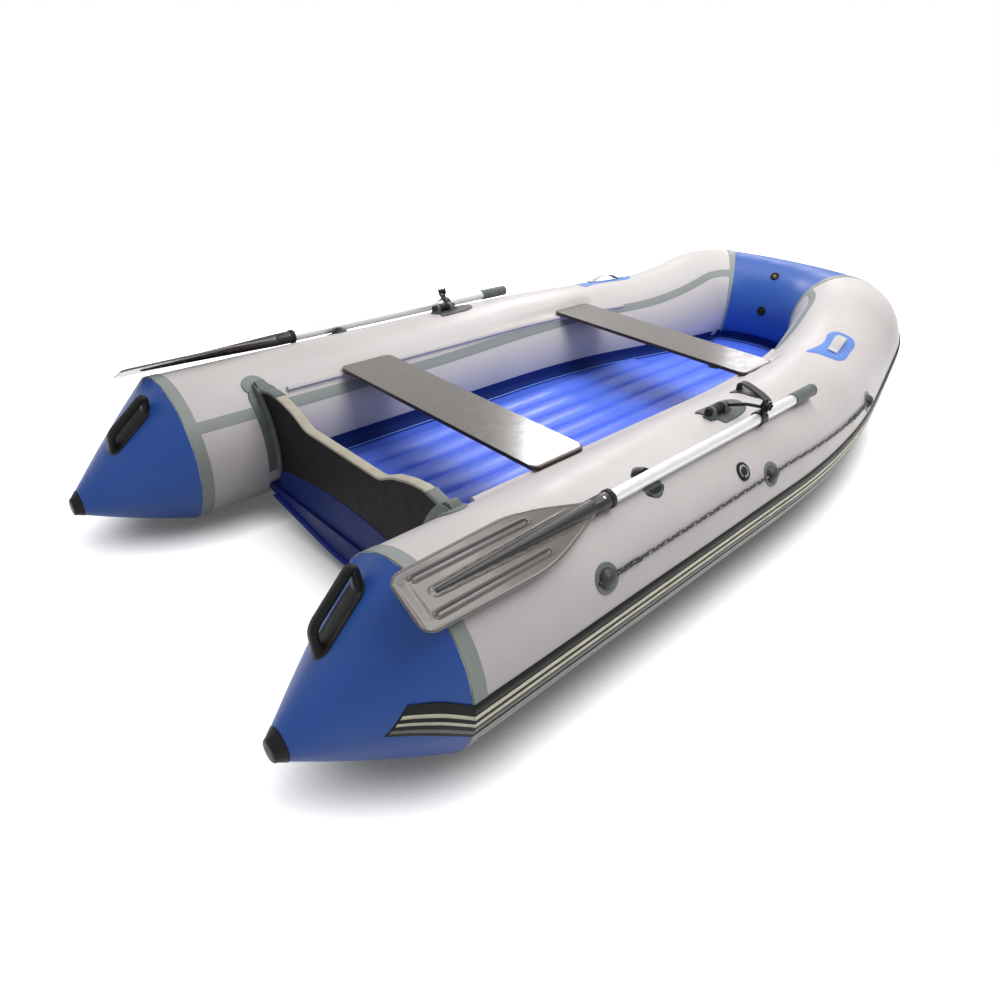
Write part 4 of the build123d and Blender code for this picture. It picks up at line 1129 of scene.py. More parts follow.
# %% Seat boards and brackets
bracket_outline = rounded_outline(0.030, 0.008, 0.004, 3)
bracket_steps = ((0.0015, -0.022), (0, -0.019), (0, -0.004), (-0.006, -0.002), (-0.006, 0))
for name in ("aft", "fore"):
    low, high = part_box(f"thwart_{name}")
    centre = (low + high) / 2
    outline = rounded_outline((high.x - low.x) / 2, (high.y - low.y) / 2, 0.022)
    layers = [(0.010, low.z), (0.0012, low.z), (0, low.z + 0.001), (0, high.z - 0.0022),
              (0.0007, high.z - 0.0007), (0.0022, high.z), (0.010, high.z)]
    shape = grid(stacked(outline, layers, centre))
    seat = mesh_piece(f"seat_{name}", shape, seat_film, smooth=50)
    seat.data.materials.append(ply_edge)
    for face in seat.data.polygons:
        if abs(face.normal.z) < 0.4:
            face.material_index = 1
    done(seat, f"thwart_{name}", [f"thwart_{name}"])
    for side, sign in SIDES:
        layers = [(inset, low.z + step) for inset, step in bracket_steps]
        shape = grid(stacked(bracket_outline, layers, Vector((centre.x, sign * 0.426, 0))))
        bracket = mesh_piece(f"seat_bracket_{name}_{side}", shape, black_plastic, smooth=45)
        done(bracket, f"thwart_{name}")
    print("seat", name, "with", len(shape[1]), "faces in each bracket")

# %% [markdown]
# A rail is a soft bead on a glued foot, extruded and then bent along the tube. Half its section is
# written, and the other half is its mirror image.

# %% Seat rails
half_base, half_bead = 0.013, 0.0075
half_rail = [(half_base, -0.001), (half_base, 0.0008), (half_base - 0.002, 0.0015),
             (half_bead + 0.0015, 0.0017), (half_bead, 0.003), (half_bead - 0.0002, 0.0085),
             (half_bead - 0.0025, 0.0118)]
rail_section = ([(-across, lift) for across, lift in half_rail] + [(0, 0.0124)] + half_rail[::-1]
                + [(0, -0.001)])
shape = strip(steps(0.330, 1.950, 0.02), 135.2, rail_section)
both_sides("rail", shape, rail_fabric, "tube_fabric", ["seat_rail"])
print("rails:", len(shape[1]), "faces each")

# %% [markdown]
# ## Shapes that turn about a line, and sections carried along a path
# Valves, caps and sleeves are turned shapes: a profile of radii and heights spun about an axis.
# Handles and loops are a rounded section carried along a smooth path. Both become rows of points,
# so the same grid helper joins them.

# %% Turned and carried shapes
def spokes(axis, count):
    """Directions evenly spaced round an axis."""
    first = axis.orthogonal().normalized()
    second = axis.cross(first)
    turns = [2 * pi * i / count for i in range(count)]
    return [first * cos(a) + second * sin(a) for a in turns]


def turned(profile, base, axis, segments=40):
    """A turned shape: (radius, height) pairs about an axis that stands on a base point."""
    axis = axis.normalized()
    around = spokes(axis, segments)
    return grid([[base + axis * height + spoke * radius for spoke in around] for radius, height in profile])


def ellipse(half_x, half_y, count):
    """An ellipse's outline as a closed list of pairs."""
    turns = [radians(360 / count * k) for k in range(count)]
    return [(half_x * cos(a), half_y * sin(a)) for a in turns]


def smooth_path(corners, count):
    """A path with its corners cut off again and again, sampled evenly."""
    path = [Vector(c) for c in corners]
    for _ in range(2):
        cut = [path[0]]
        for a, b in zip(path, path[1:]):
            cut += [a.lerp(b, 0.25), a.lerp(b, 0.75)]
        path = cut + [path[-1]]
    lengths = np.cumsum([0] + [(b - a).length for a, b in zip(path, path[1:])])
    sample = np.linspace(0, lengths[-1], count)
    return [Vector([float(np.interp(s, lengths, [p[k] for p in path])) for k in range(3)]) for s in sample]


def carried(path, section, side, scales=None):
    """A section carried along a path. Side is the direction that the section's x keeps to."""
    rows = []
    for i, point in enumerate(path):
        onward = (path[min(i + 1, len(path) - 1)] - path[max(i - 1, 0)]).normalized()
        across = (side - onward * side.dot(onward)).normalized()
        normal = onward.cross(across)
        scale = scales[i] if scales else 1.0
        rows.append([point + (across * x + normal * y) * scale for x, y in section])
    return grid(rows)


# %% [markdown]
# A glued patch is an outline wrapped on the tube and shrunk to its middle, layer by layer, so that
# it rises at its edge and lies flat over the rest. Corner cutting softens an outline listed as a few
# corners.

# %% Patches on the tube
def patch(outline, along, angle, layers):
    """A patch on the tube: its outline at each (scale, lift)."""
    return grid([[on_hull(along + x * scale, angle - round_tube(y * scale), lift) for x, y in outline]
                 for scale, lift in layers])


def patch_layers(thickness, edge=0.97):
    """A patch that rises at its edge and lies flat over the middle."""
    flat = [(scale, thickness) for scale in (0.8, 0.6, 0.4, 0.2, 0.02)]
    return [(1.0, -0.002), (1.0, thickness * 0.5), (edge, thickness)] + flat


def soft_outline(corners, count=72):
    """A closed outline with softened corners, evenly spaced."""
    loop = [Vector(corner) for corner in corners]
    for _ in range(2):
        loop = [p for a, b in zip(loop, loop[1:] + loop[:1]) for p in (a.lerp(b, 0.25), a.lerp(b, 0.75))]
    closed = loop + loop[:1]
    lengths = np.cumsum([0] + [(b - a).length for a, b in zip(closed, closed[1:])])
    return [tuple(float(np.interp(s, lengths, [p[k] for p in closed])) for k in (0, 1))
            for s in np.linspace(0, lengths[-1], count, endpoint=False)]


def station_along(station):
    """Distance along the tube's axis for a station on its straight or gentle run."""
    past = max(0.0, station - STRAIGHT_RUN)
    return min(station, STRAIGHT_RUN) + GENTLE_RADIUS * asin(past / GENTLE_RADIUS)


print("station 1.944 lies", round(station_along(1.944), 3), "m along the axis")

# %% [markdown]
# ## Repeats with Geometry Nodes
# Stitches, rope plaits, barrel ribs and knob lobes are one small bead repeated along a path or
# round a ring. A node tree does the repeating: it walks a path at a set spacing, puts a bead on
# each step, turns it round the path and pushes it outwards. Its sizes are named inputs, so one tree
# serves a rope, a seam of thread and a ring of ribs. The result is kept as a plain mesh.

# %% Bead tree: its inputs
bead_tree = bpy.data.node_groups.new("beads_along_path", "GeometryNodeTree")
bead_tree.interface.new_socket("Geometry", in_out="INPUT", socket_type="NodeSocketGeometry")
for label in ("Spacing", "Turn", "Radius", "Length", "Width", "Tilt", "Every", "Phase"):
    bead_tree.interface.new_socket(label, in_out="INPUT", socket_type="NodeSocketFloat")
bead_tree.interface.new_socket("Finish", in_out="INPUT", socket_type="NodeSocketMaterial")
bead_tree.interface.new_socket("Geometry", in_out="OUTPUT", socket_type="NodeSocketGeometry")
given = bead_tree.nodes.new("NodeGroupInput").outputs
wire = bead_tree.links.new


def bead_node(kind, **settings):
    """A node of the bead tree with its settings."""
    node = bead_tree.nodes.new(kind)
    for key, value in settings.items():
        setattr(node, key, value)
    return node


def bead_math(operation, *values):
    """A maths node fed by sockets or numbers."""
    node = bead_node("ShaderNodeMath", operation=operation)
    for socket, value in zip(node.inputs, values):
        if isinstance(value, (int, float)):
            socket.default_value = value
        else:
            wire(value, socket)
    return node.outputs[0]


def bead_vector(*parts):
    """A vector from up to three sockets. None leaves a 0."""
    node = bead_node("ShaderNodeCombineXYZ")
    for target, part in enumerate(parts):
        if part:
            wire(part, node.inputs[target])
    return node.outputs[0]


print("bead tree inputs:", len(bead_tree.interface.items_tree) - 1)

# %% [markdown]
# The tree turns the mesh's edges into curves, steps along them and puts a stretched ball on each
# step. Every and Phase pick one step in so many, which lets two finishes share one rope.

# %% Bead tree: a bead on each step
line = bead_node("GeometryNodeMeshToCurve")
wire(given["Geometry"], line.inputs[0])
walk = bead_node("GeometryNodeResampleCurve", mode="LENGTH")
wire(line.outputs[0], walk.inputs["Curve"])
wire(given["Spacing"], walk.inputs["Length"])
ball = bead_node("GeometryNodeMeshUVSphere")
set_inputs(ball, Segments=6, Rings=5, Radius=1.0)
half_long = bead_math("MULTIPLY", given["Length"], 0.5)
half_wide = bead_math("MULTIPLY", given["Width"], 0.5)
shaped = bead_node("GeometryNodeTransform")
wire(ball.outputs["Mesh"], shaped.inputs["Geometry"])
wire(bead_vector(half_wide, half_wide, half_long), shaped.inputs["Scale"])
wire(bead_vector(given["Tilt"]), shaped.inputs["Rotation"])
count_up = bead_node("GeometryNodeInputIndex").outputs[0]
chosen = bead_node("FunctionNodeCompare", data_type="FLOAT", operation="EQUAL")
set_inputs(chosen, Epsilon=0.1)
wire(bead_math("MODULO", count_up, given["Every"]), chosen.inputs["A"])
wire(given["Phase"], chosen.inputs["B"])
facing = bead_node("FunctionNodeAlignRotationToVector", axis="Z")
wire(bead_node("GeometryNodeInputTangent").outputs[0], facing.inputs["Vector"])
placed = bead_node("GeometryNodeInstanceOnPoints")
for source, socket in ((walk.outputs[0], "Points"), (chosen.outputs[0], "Selection"),
                       (shaped.outputs[0], "Instance"), (facing.outputs[0], "Rotation")):
    wire(source, placed.inputs[socket])
print("bead tree so far:", len(bead_tree.nodes), "nodes")

# %% Bead tree: turned, pushed out and made real
order = bead_math("MULTIPLY_ADD", count_up, given["Every"], given["Phase"])
spun = bead_node("GeometryNodeRotateInstances")
wire(placed.outputs[0], spun.inputs["Instances"])
wire(bead_vector(None, None, bead_math("MULTIPLY", order, given["Turn"])), spun.inputs["Rotation"])
pushed = bead_node("GeometryNodeTranslateInstances")
wire(spun.outputs[0], pushed.inputs["Instances"])
wire(bead_vector(given["Radius"]), pushed.inputs["Translation"])
solid = bead_node("GeometryNodeRealizeInstances")
wire(pushed.outputs[0], solid.inputs[0])
smooth_beads = bead_node("GeometryNodeSetShadeSmooth")
wire(solid.outputs[0], smooth_beads.inputs[0])
dressed = bead_node("GeometryNodeSetMaterial")
wire(smooth_beads.outputs[0], dressed.inputs["Geometry"])
wire(given["Finish"], dressed.inputs["Material"])
wire(dressed.outputs[0], bead_node("NodeGroupOutput").inputs[0])
print("bead tree:", len(bead_tree.nodes), "nodes")


# %% Beads on a path
def beads(name, paths, finish, spacing, length, width, turn=0.0, radius=0.0, tilt=0.0, every=1, phase=0):
    """A plain mesh of beads along one or more paths, made by the bead tree."""
    data = bpy.data.meshes.new(name)
    points, edges = [], []
    for path in paths:
        first = len(points)
        points += [tuple(p) for p in path]
        edges += [(first + i, first + i + 1) for i in range(len(path) - 1)]
    data.from_pydata(points, edges, [])
    piece = link(name, data)
    layer = piece.modifiers.new("beads", "NODES")
    layer.node_group = bead_tree
    values = {"Spacing": spacing, "Turn": turn, "Radius": radius, "Length": length, "Width": width,
              "Tilt": tilt, "Every": float(every), "Phase": float(phase), "Finish": finish}
    for socket in bead_tree.interface.items_tree:
        if socket.in_out == "INPUT" and socket.name in values:
            layer[socket.identifier] = values[socket.name]
    depsgraph = bpy.context.evaluated_depsgraph_get()
    made = bpy.data.meshes.new_from_object(piece.evaluated_get(depsgraph))
    piece.modifiers.clear()
    piece.data = made
    made.name = name
    made.update()
    return piece


def ribs(centre, axis, sign, radius, count, low, high):
    """Short paths along an axis, one for each rib of a ring, on the port side or the other."""
    centre, axis = sided([centre, axis], sign)
    feet = [centre + spoke * radius for spoke in spokes(axis, count)]
    return [[foot + axis * low, foot + axis * high] for foot in feet]


# %% [markdown]
# ## Oars
# Each oar is an aluminium loom with a moulded blade. The blade is a thin plate whose long pressed
# grooves stiffen it, each groove with a raised rim, and the socket runs on as a tapered spine.
# A height rule over the plate draws all of it, and the underside repeats only the spine.

# %% The blade's outline
oar_middle = (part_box("oar_shaft_port")[0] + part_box("oar_shaft_port")[1]) / 2
blade_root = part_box("oar_blade_port")[1].x - 0.066
BLADE, SPINE_END, SHOULDER, ROUND_START = 0.505, 0.434, 0.230, 0.475
lean_angle = radians(63)
blade_out = Vector((0, cos(lean_angle), sin(lean_angle)))
blade_side = Vector((0, -sin(lean_angle), cos(lean_angle)))


def on_oar(x):
    """A point on the port oar's axis."""
    return Vector((x, oar_middle.y, oar_middle.z))


def blade_width(u):
    """Half width of the blade, a distance aft of its socket."""
    if u > ROUND_START:
        return 0.040 + sqrt(max(0.0, 0.030 ** 2 - (u - ROUND_START) ** 2))
    if u > SHOULDER:
        return 0.076 - 0.006 * (u - SHOULDER) / (ROUND_START - SHOULDER)
    t = u / SHOULDER
    return 0.019 + 0.057 * (0.25 * (3 * t ** 2 - 2 * t ** 3) + 0.75 * sin(pi * t / 2))


print("blade:", BLADE, "m long and", 2 * blade_width(SHOULDER), "m wide")

# %% [markdown]
# The height rule adds up a few soft bumps: a raised rim along the edge, the pressed grooves with
# their own rims, and the tapered spine, which wins wherever it stands higher than the plate.

# %% The blade's height rule
PLATE = 0.0025


def bump(distance, centre, width):
    """A soft bump of height 1."""
    return exp(-((distance - centre) / width) ** 2)


def spine_height(u, v):
    """The tapered spine above the plate's middle, and how far a point lies outside it."""
    radius = 0.021 + (0.006 - 0.021) * min(1.0, u / SPINE_END)
    away = hypot(max(0.0, u - SPINE_END), v)
    return (sqrt(radius ** 2 - away ** 2) if away < radius else 0.0), away - radius


def groove_gap(u, v):
    """How far a point lies from the middle line of the nearer groove."""
    return hypot(max(0.0, abs(u - 0.315) - 0.1435), abs(v) - 0.042)


def blade_height(u, v, upper):
    """Height of the blade's upper or lower face over its middle plane."""
    edge = min(blade_width(u) - abs(v), BLADE - u)
    plate = PLATE * sqrt(1 - (1 - clamp(edge / PLATE)) ** 2)
    spine, gap = spine_height(u, v)
    if not upper:
        return -max(plate, spine)
    plate += 0.0014 * bump(edge, 0.0045, 0.0020)
    if u > 0.05:
        plate += 0.0024 * bump(gap, 0.0050, 0.0019) * min(1.0, (u - 0.05) / 0.05)
    plate += 0.0009 if abs(u - 0.479) < 0.008 and abs(v) < 0.043 else 0.0
    away = groove_gap(u, v)
    plate += 0.0030 * bump(away, 0.0080, 0.0018) - 0.0045 * bump(away, 0.0, 0.0044)
    return max(plate, spine)


rim, groove = (blade_height(0.3, v, True) for v in (0.050, 0.042))
print("groove:", round(1000 * (rim - groove), 1), "mm deep")

# %% [markdown]
# The columns of the blade's grid run parallel to the grooves, so that a groove's edge doesn't
# zigzag between them. Only the outer few bend with the blade's outline.

# %% The blade's mesh
INNER_COLUMNS, ALL_COLUMNS = 48, 60


def blade_row(u, upper):
    """One row across a face, a distance aft of the socket."""
    half = blade_width(u)
    inner = min(0.060, half - 0.008)
    row = []
    for k in range(-ALL_COLUMNS, ALL_COLUMNS + 1):
        v = inner * k / INNER_COLUMNS
        if abs(k) > INNER_COLUMNS:
            outer = (half - inner) * (abs(k) - INNER_COLUMNS) / (ALL_COLUMNS - INNER_COLUMNS)
            v = copysign(inner + outer, k)
        row.append(on_oar(blade_root - u) + blade_side * v + blade_out * blade_height(u, v, upper))
    return row


round_end = [ROUND_START + 0.030 * sin(radians(a)) for a in (12, 24, 36, 48, 60, 70, 80, 90)]
rows = [blade_row(u, True) + blade_row(u, False)[::-1] for u in steps(0, ROUND_START, 0.0042) + round_end]
shape = grid(rows)
blades = both_sides("blade", shape, blade_plastic, "blade_plastic", ["oar_blade"], 60, "oar")
print("blade:", len(shape[1]), "faces")

# %% [markdown]
# The spine is black, and the grooves get painted shade. The spine's faces take a second finish. The
# grooves are narrower than a face should be, so each vertex stores how deep in a groove it lies,
# and the finish reads that value and darkens smoothly: painted shade and dark reflection in the grooves.

# %% The spine's faces and the grooves' painted shade
def on_blade(place):
    """A place's distance aft of the socket, its way across the plate and its height over it."""
    off = Vector((0, abs(place.y) - oar_middle.y, place.z - oar_middle.z))
    return blade_root - place.x, off.dot(blade_side), off.dot(blade_out)


for piece in blades:
    piece.data.materials.append(spine_plastic)
    for face in piece.data.polygons:
        u, v, _ = on_blade(face.center)
        if spine_height(u, v)[1] < -0.0012:
            face.material_index = 1
    groove_shade = []
    for vertex in piece.data.vertices:
        u, v, height = on_blade(vertex.co)
        groove_shade.append(clamp((0.0062 - groove_gap(u, v)) / 0.0022) if height > 0 else 0.0)
    piece.data.attributes.new("groove", "FLOAT", "POINT").data.foreach_set("value", groove_shade)
# Painted shade: the grooves turn almost black, for the shade and dark reflection inside them.
paint_shade_where(blade_plastic, "groove", (0.016, 0.015, 0.014))
print("vertices in grooves:", sum(depth > 0.5 for depth in groove_shade))

# %% [markdown]
# The loom slides into a moulded socket, and a rivet and a notched ring hold it there. Sleeve and
# ring are turned about the oar's axis, and the rivet about a line square to the blade.

# %% Socket, ring and rivet
sleeve_profile = [(0.0176, 0.0), (0.0205, 0.0), (0.0210, 0.001), (0.0210, 0.052), (0.0176, 0.0525)]
socket_ring_profile = [(0.0176, 0.0525), (0.0222, 0.0525), (0.0230, 0.0535), (0.0230, 0.0655),
                       (0.0222, 0.0665), (0.0176, 0.0665)]
rivet_profile = [(0.0001, -0.002), (0.0042, -0.002), (0.0042, 0.0008), (0.0030, 0.0018), (0.0001, 0.0022)]
socket_base = on_oar(blade_root)
shape = turned(sleeve_profile, socket_base, ahead)
both_sides("blade_socket", shape, spine_plastic, "blade_plastic", body="oar")
shape = turned(socket_ring_profile, socket_base, ahead)
both_sides("socket_ring", shape, black_plastic, "black_plastic", body="oar")
rivet_place = socket_base + ahead * 0.034 + blade_out * 0.0205
shape = turned(rivet_profile, rivet_place, blade_out, 20)
both_sides("socket_rivet", shape, steel, "shaft_aluminium", body="oar")

for side, sign in SIDES:
    notches = ribs(on_oar(blade_root + 0.0595), ahead, sign, 0.0230, 18, -0.0045, 0.0045)
    piece = beads(f"socket_notches_{side}", notches, black_plastic, 0.0045, 0.008, 0.0030)
    done(piece, f"oar_{side}")
print("sockets made")

# %% [markdown]
# The grip is a plastic sleeve with a slight belly, and a stop ring at each end. The loom itself is
# a plain tube with bevelled ends, and a thin steel ring marks where its two lengths join.

# %% Grip end and shaft joint
grip_profile = [(0.0170, 0.0), (0.0197, 0.0002), (0.0205, 0.0012), (0.0206, 0.006), (0.0201, 0.0075)]
grip_profile += [(0.0201 + 0.0005 * sin(pi * k / 10), 0.0075 + 0.105 * k / 10)
                 for k in range(1, 11)]
grip_profile += [(0.0204, 0.1180), (0.0206, 0.1250), (0.0198, 0.1285), (0.0180, 0.1300),
                 (0.0090, 0.1303), (0.0001, 0.1303)]
shape = turned(grip_profile, on_oar(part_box("oar_grip_port")[0].x), ahead)
both_sides("grip", shape, grip_plastic, "dark_plastic", ["oar_grip"], body="oar")
joint_profile = [(0.0174, 0.0), (0.0181, 0.0004), (0.0181, 0.0016), (0.0174, 0.002)]
JOINT_STATION = 0.655
shape = turned(joint_profile, on_oar(seam_x + JOINT_STATION), ahead)
both_sides("shaft_joint", shape, steel, "shaft_aluminium", body="oar")

LOOM, LOOM_END = 0.01745, 0.0172
shaft_low, shaft_high = (corner.x - seam_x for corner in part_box("oar_shaft_port"))
loom_profile = [(LOOM_END, shaft_low + 0.0004), (LOOM, shaft_low + 0.001)]
loom_profile += [(LOOM, station) for station in steps(shaft_low + 0.02, shaft_high - 0.02, 0.04)]
loom_profile += [(LOOM, shaft_high - 0.001), (LOOM_END, shaft_high - 0.0004)]
shape = turned(loom_profile, on_oar(seam_x), ahead, 48)
both_sides("loom", shape, shaft_metal, "shaft_aluminium", ["oar_shaft"], body="oar")
print("loom:", round(shaft_high - shaft_low, 3), "m long")

# %% [markdown]
# ## Oarlocks and oar clips
# A base plate glued to the tube carries a barrel on two ears. The barrel's pin rolls, so the oar
# lifts, and the oar swings in the pin's eye. Further aft a pair of low cups holds the loom.

# %% Oarlock base
pin_place = Vector((seam_x + 1.052, axis_y + 0.020, 0.478))
plate_angle = degrees(atan2(pin_place.z - TUBE, pin_place.y - axis_y))
leaf = soft_outline((
    (-0.086, -0.043), (-0.085, -0.047), (-0.072, 0.010), (-0.062, 0.047), (-0.050, 0.048),
    (0.040, 0.046), (0.085, 0.028), (0.096, 0.0), (0.085, -0.028), (0.040, -0.046),
    (-0.020, -0.044), (-0.078, -0.050)))
shape = patch(leaf, 1.140, plate_angle, patch_layers(0.004))
both_sides("oarlock_plate", shape, grey_plastic, "grey_plastic", ["oarlock_base"])
print("oarlock plate at", round(plate_angle, 1), "degrees")

# %% [markdown]
# The ears are two rounded arches across the pin. Each is a stack of the same arch, and its first
# and last copies are cut low and spread along the tube, so the ear grows out of a sloping foot.

# %% Oarlock ears
EAR_FOOT, EAR_TOP = 0.455, 0.493
ear_arch = [(0.0165 * cos(radians(a)), 0.4765 + 0.0165 * sin(radians(a)))
            for a in range(-10, 191, 20)]
ear_arch = [(0.019, 0.436), (0.019, 0.462)] + ear_arch + [(-0.019, 0.462), (-0.019, 0.436)]


def ear(low, high, reach_low, reach_high):
    """One ear between two places on x, with a sloping foot before and behind."""
    copies = ((low - reach_low, 0.8, EAR_FOOT), (low, 1.0, EAR_TOP), (low + 0.001, 1.04, EAR_TOP),
              (high - 0.001, 1.04, EAR_TOP), (high, 1.0, EAR_TOP), (high + reach_high, 0.8, EAR_FOOT))
    return grid([[Vector((x, pin_place.y + y * width, min(z, top))) for y, z in ear_arch]
                 for x, width, top in copies])


for name, low, high, back, front in (("aft", 1.060, 1.072, 0.016, 0.0002),
                                     ("fore", 1.116, 1.128, 0.0002, 0.046)):
    shape = ear(seam_x + low, seam_x + high, back, front)
    both_sides(f"oarlock_ear_{name}", shape, grey_plastic, "grey_plastic")
print("ears:", len(shape[1]), "faces each")

# %% [markdown]
# The pin rolls in the ears and carries the oar, so its pieces ride on the oarlock's own body. The
# CAD model's pin and collar stay visible here, and only take the black plastic finish.

# %% Oarlock pin
lip_profile = [(0.0060, -0.004), (0.0118, -0.004), (0.0128, -0.003), (0.0128, 0.003), (0.0060, 0.003)]
shape = turned(lip_profile, pin_place + ahead * 0.001, ahead, 28)
both_sides("oarlock_pin_lip", shape, black_plastic, "black_plastic", body="oarlock")
neck_start = pin_place + ahead * (1.1285 - 1.052)
neck = [neck_start + ahead * (0.0180 * k / 23) for k in range(24)]
neck_scales = [1.35 - 0.30 * i / 23 for i in range(24)]
shape = carried(neck, ellipse(0.0088, 0.0088, 15), Vector((0, 0, 1)), neck_scales)
both_sides("oarlock_neck", shape, black_plastic, "black_plastic", smooth=60, body="oarlock")
for side, sign in SIDES:
    barrel = ribs(pin_place, ahead, sign, 0.0128, 14, 0.024, 0.060)
    piece = beads(f"barrel_ribs_{side}", barrel, black_plastic, 0.036, 0.038, 0.0042)
    done(piece, f"oarlock_{side}")
    for node in (f"oarlock_pin_{side}", f"oar_collar_{side}"):
        for material_slot in bpy.data.objects[node].material_slots:
            material_slot.material = black_plastic
print("pins and barrels made")

# %% [markdown]
# A lobed knob locks each collar to its oar. The knob is a turned stem, and six beads that stand
# round it make the lobes.

# %% Knobs that lock the collars
KNOB_STATION = 1.178
swing_up = Vector((0, sin(radians(20)), cos(radians(20))))
knob_base = on_oar(seam_x + KNOB_STATION) + swing_up * 0.0415
knob_profile = [(0.0085, 0.0), (0.0105, 0.0005), (0.0118, 0.0025), (0.0118, 0.0090),
                (0.0095, 0.0120), (0.0050, 0.0128), (0.0001, 0.0130)]
shape = turned(knob_profile, knob_base, swing_up, 32)
both_sides("collar_knob", shape, black_plastic, "black_plastic", body="oar")
for side, sign in SIDES:
    lobes = ribs(knob_base, swing_up, sign, 0.0128, 6, 0.0012, 0.0110)
    piece = beads(f"knob_lobes_{side}", lobes, black_plastic, 0.0098, 0.0145, 0.0090)
    done(piece, f"oar_{side}")
print("knobs made")

# %% [markdown]
# The loom rests in a clip: two curved lips on a glued disc, a tall one inboard and a low one
# outboard. A lip's height falls away on both sides of the clip and towards the disc's rim.

# %% Oar clips
CLIP_ALONG, CLIP_ANGLE = 0.668, 63.0
CUP_INNER, CUP_BASE, CUP_SPREAD = 0.0232, 0.0035, 88
cup_section = ((0.0235, 0.0), (0.0238, 0.7), (0.0248, 1.0), (0.0268, 1.0), (0.0300, 0.86),
               (0.0350, 0.62), (0.0400, 0.36), (0.0445, 0.12), (0.0450, 0.0))
shape = patch(ellipse(0.036, 0.050, 45), CLIP_ALONG, CLIP_ANGLE, patch_layers(0.0035, edge=0.93))
both_sides("clip_disc", shape, grey_plastic, "grey_plastic", ["oar_clip"])


def cup_point(toward, crest, a, out, share):
    """A point of a lip, at an angle about the clip's middle and a distance out from it."""
    straight_edge = toward < 0 and out <= 0.0235
    bowed = 0.0 if straight_edge else (out - CUP_INNER) * cos(a)
    along = CLIP_ALONG + out * sin(a) * 0.74 * 1.05
    angle = CLIP_ANGLE - round_tube(toward * (CUP_INNER + bowed))
    return on_hull(along, angle, 0.002 + (crest - 0.002) * share)


def cup_wall(toward, height):
    """A half cup beside the loom: a curved lip that falls away to the disc's rim."""
    rows = []
    for k in range(25):
        a = radians(-CUP_SPREAD + 2 * CUP_SPREAD * k / 24)
        fall = max(0.0, cos(a * 90 / CUP_SPREAD)) ** 0.7
        crest = CUP_BASE + (height - CUP_BASE) * fall
        rows.append([cup_point(toward, crest, a, out, share) for out, share in cup_section])
    return grid(rows)


for name, toward, height in (("inboard", -1, 0.020), ("outboard", 1, 0.0055)):
    both_sides(f"clip_cup_{name}", cup_wall(toward, height), black_plastic, "black_plastic")
print("oar clips made")

# %% [markdown]
# ## Bow loop, handles and patches
# Soft rubber loops and webbing straps are glued on through patches. A strap's stitches are thread
# beads from the bead tree, laid on its foot.

# %% Loop on the starboard tube
LOOP_STATION = 1.324
loop_along = station_along(LOOP_STATION)
loop_middle, _, loop_out, _ = hull_frame(loop_along)
loop_foot = sqrt(TUBE ** 2 - 0.0450 ** 2)
arch = [(-0.0415, -0.008), (-0.0415, 0.012), (-0.0400, 0.0245), (-0.026, 0.0275), (0.000, 0.0215),
        (0.030, 0.0105), (0.052, 0.0015), (0.066, -0.008)]
arch_marks = [loop_middle + loop_out * y + Vector((0, 0, loop_foot + lift)) for y, lift in arch]
arch_path = smooth_path(arch_marks, 30)
arch_section = []
for x, y in ellipse(0.01925, 0.00555, 16):
    narrow = 1.0 if abs(x) > 0.0097 else 0.95
    arch_section.append((clamp(narrow * x, -0.0150, 0.0150), clamp(y, -0.0042, 0.0042)))
points, faces = carried(arch_path, arch_section, ahead)
single("bow_loop", (mirrored(points), faces), loop_rubber, "grey_plastic", ["fore_loop"], 60)
loop_leaf = soft_outline((
    (-0.055, -0.052), (-0.020, -0.046), (0.026, -0.048), (0.034, -0.020), (0.034, 0.030),
    (0.020, 0.046), (-0.016, 0.046), (-0.032, 0.020), (-0.032, -0.020)))
points, faces = patch(loop_leaf, loop_along, 90.0, patch_layers(0.003))
single("bow_loop_foot", (mirrored(points), faces), loop_rubber, "grey_plastic", smooth=50)
print("bow loop made")

# %% [markdown]
# A handle on each cone is one moulding: a long pad with a raised rim, and a thick bar that rises
# from it at both ends. The cone narrows and tilts, so a small frame of its own carries the handle.

# %% A frame for the cone handles
HANDLE_SHARE, HANDLE_ANGLE = 0.108 / CONE, 106
near, far = (on_cone(HANDLE_SHARE + step, HANDLE_ANGLE) for step in (-0.1, 0.1))
slope = (far - near).normalized()
left, right = (on_cone(HANDLE_SHARE, HANDLE_ANGLE + step) for step in (-2, 2))
round_cone = (right - left).normalized()
away_cone = slope.cross(round_cone)
if away_cone.z < 0:
    away_cone = -away_cone
round_cone = away_cone.cross(slope)


def on_handle(x, y, lift):
    """A point by the cone handle: x down the cone, y across it, lift off its skin."""
    share = HANDLE_SHARE + x / (CONE * 1.34)
    turn = HANDLE_ANGLE + degrees(y / (TUBE * (1 - 0.78 * share)))
    a, b = on_cone(share, turn), on_cone(share, turn, 0.01)
    return a + (b - a) * (lift / 0.01)


print("handle slopes", round(degrees(asin(-slope.z)), 1), "degrees")

# %% Cone handles
pad = []
for k in range(64):
    a = 2 * pi * k / 64
    pad.append((copysign(0.054, cos(a)) + 0.031 * cos(a), 0.031 * sin(a)))
pad_layers = [(1.0, -0.003), (1.0, 0.003), (0.975, 0.0052), (0.93, 0.0062), (0.86, 0.0050),
              (0.80, 0.0042), (0.6, 0.004), (0.3, 0.004), (0.02, 0.004)]
shape = grid([[on_handle(x * f, y * f, lift) for x, y in pad] for f, lift in pad_layers])
both_sides("cone_handle_pad", shape, black_rubber, "black_rubber", ["cone_handle"], smooth=60)

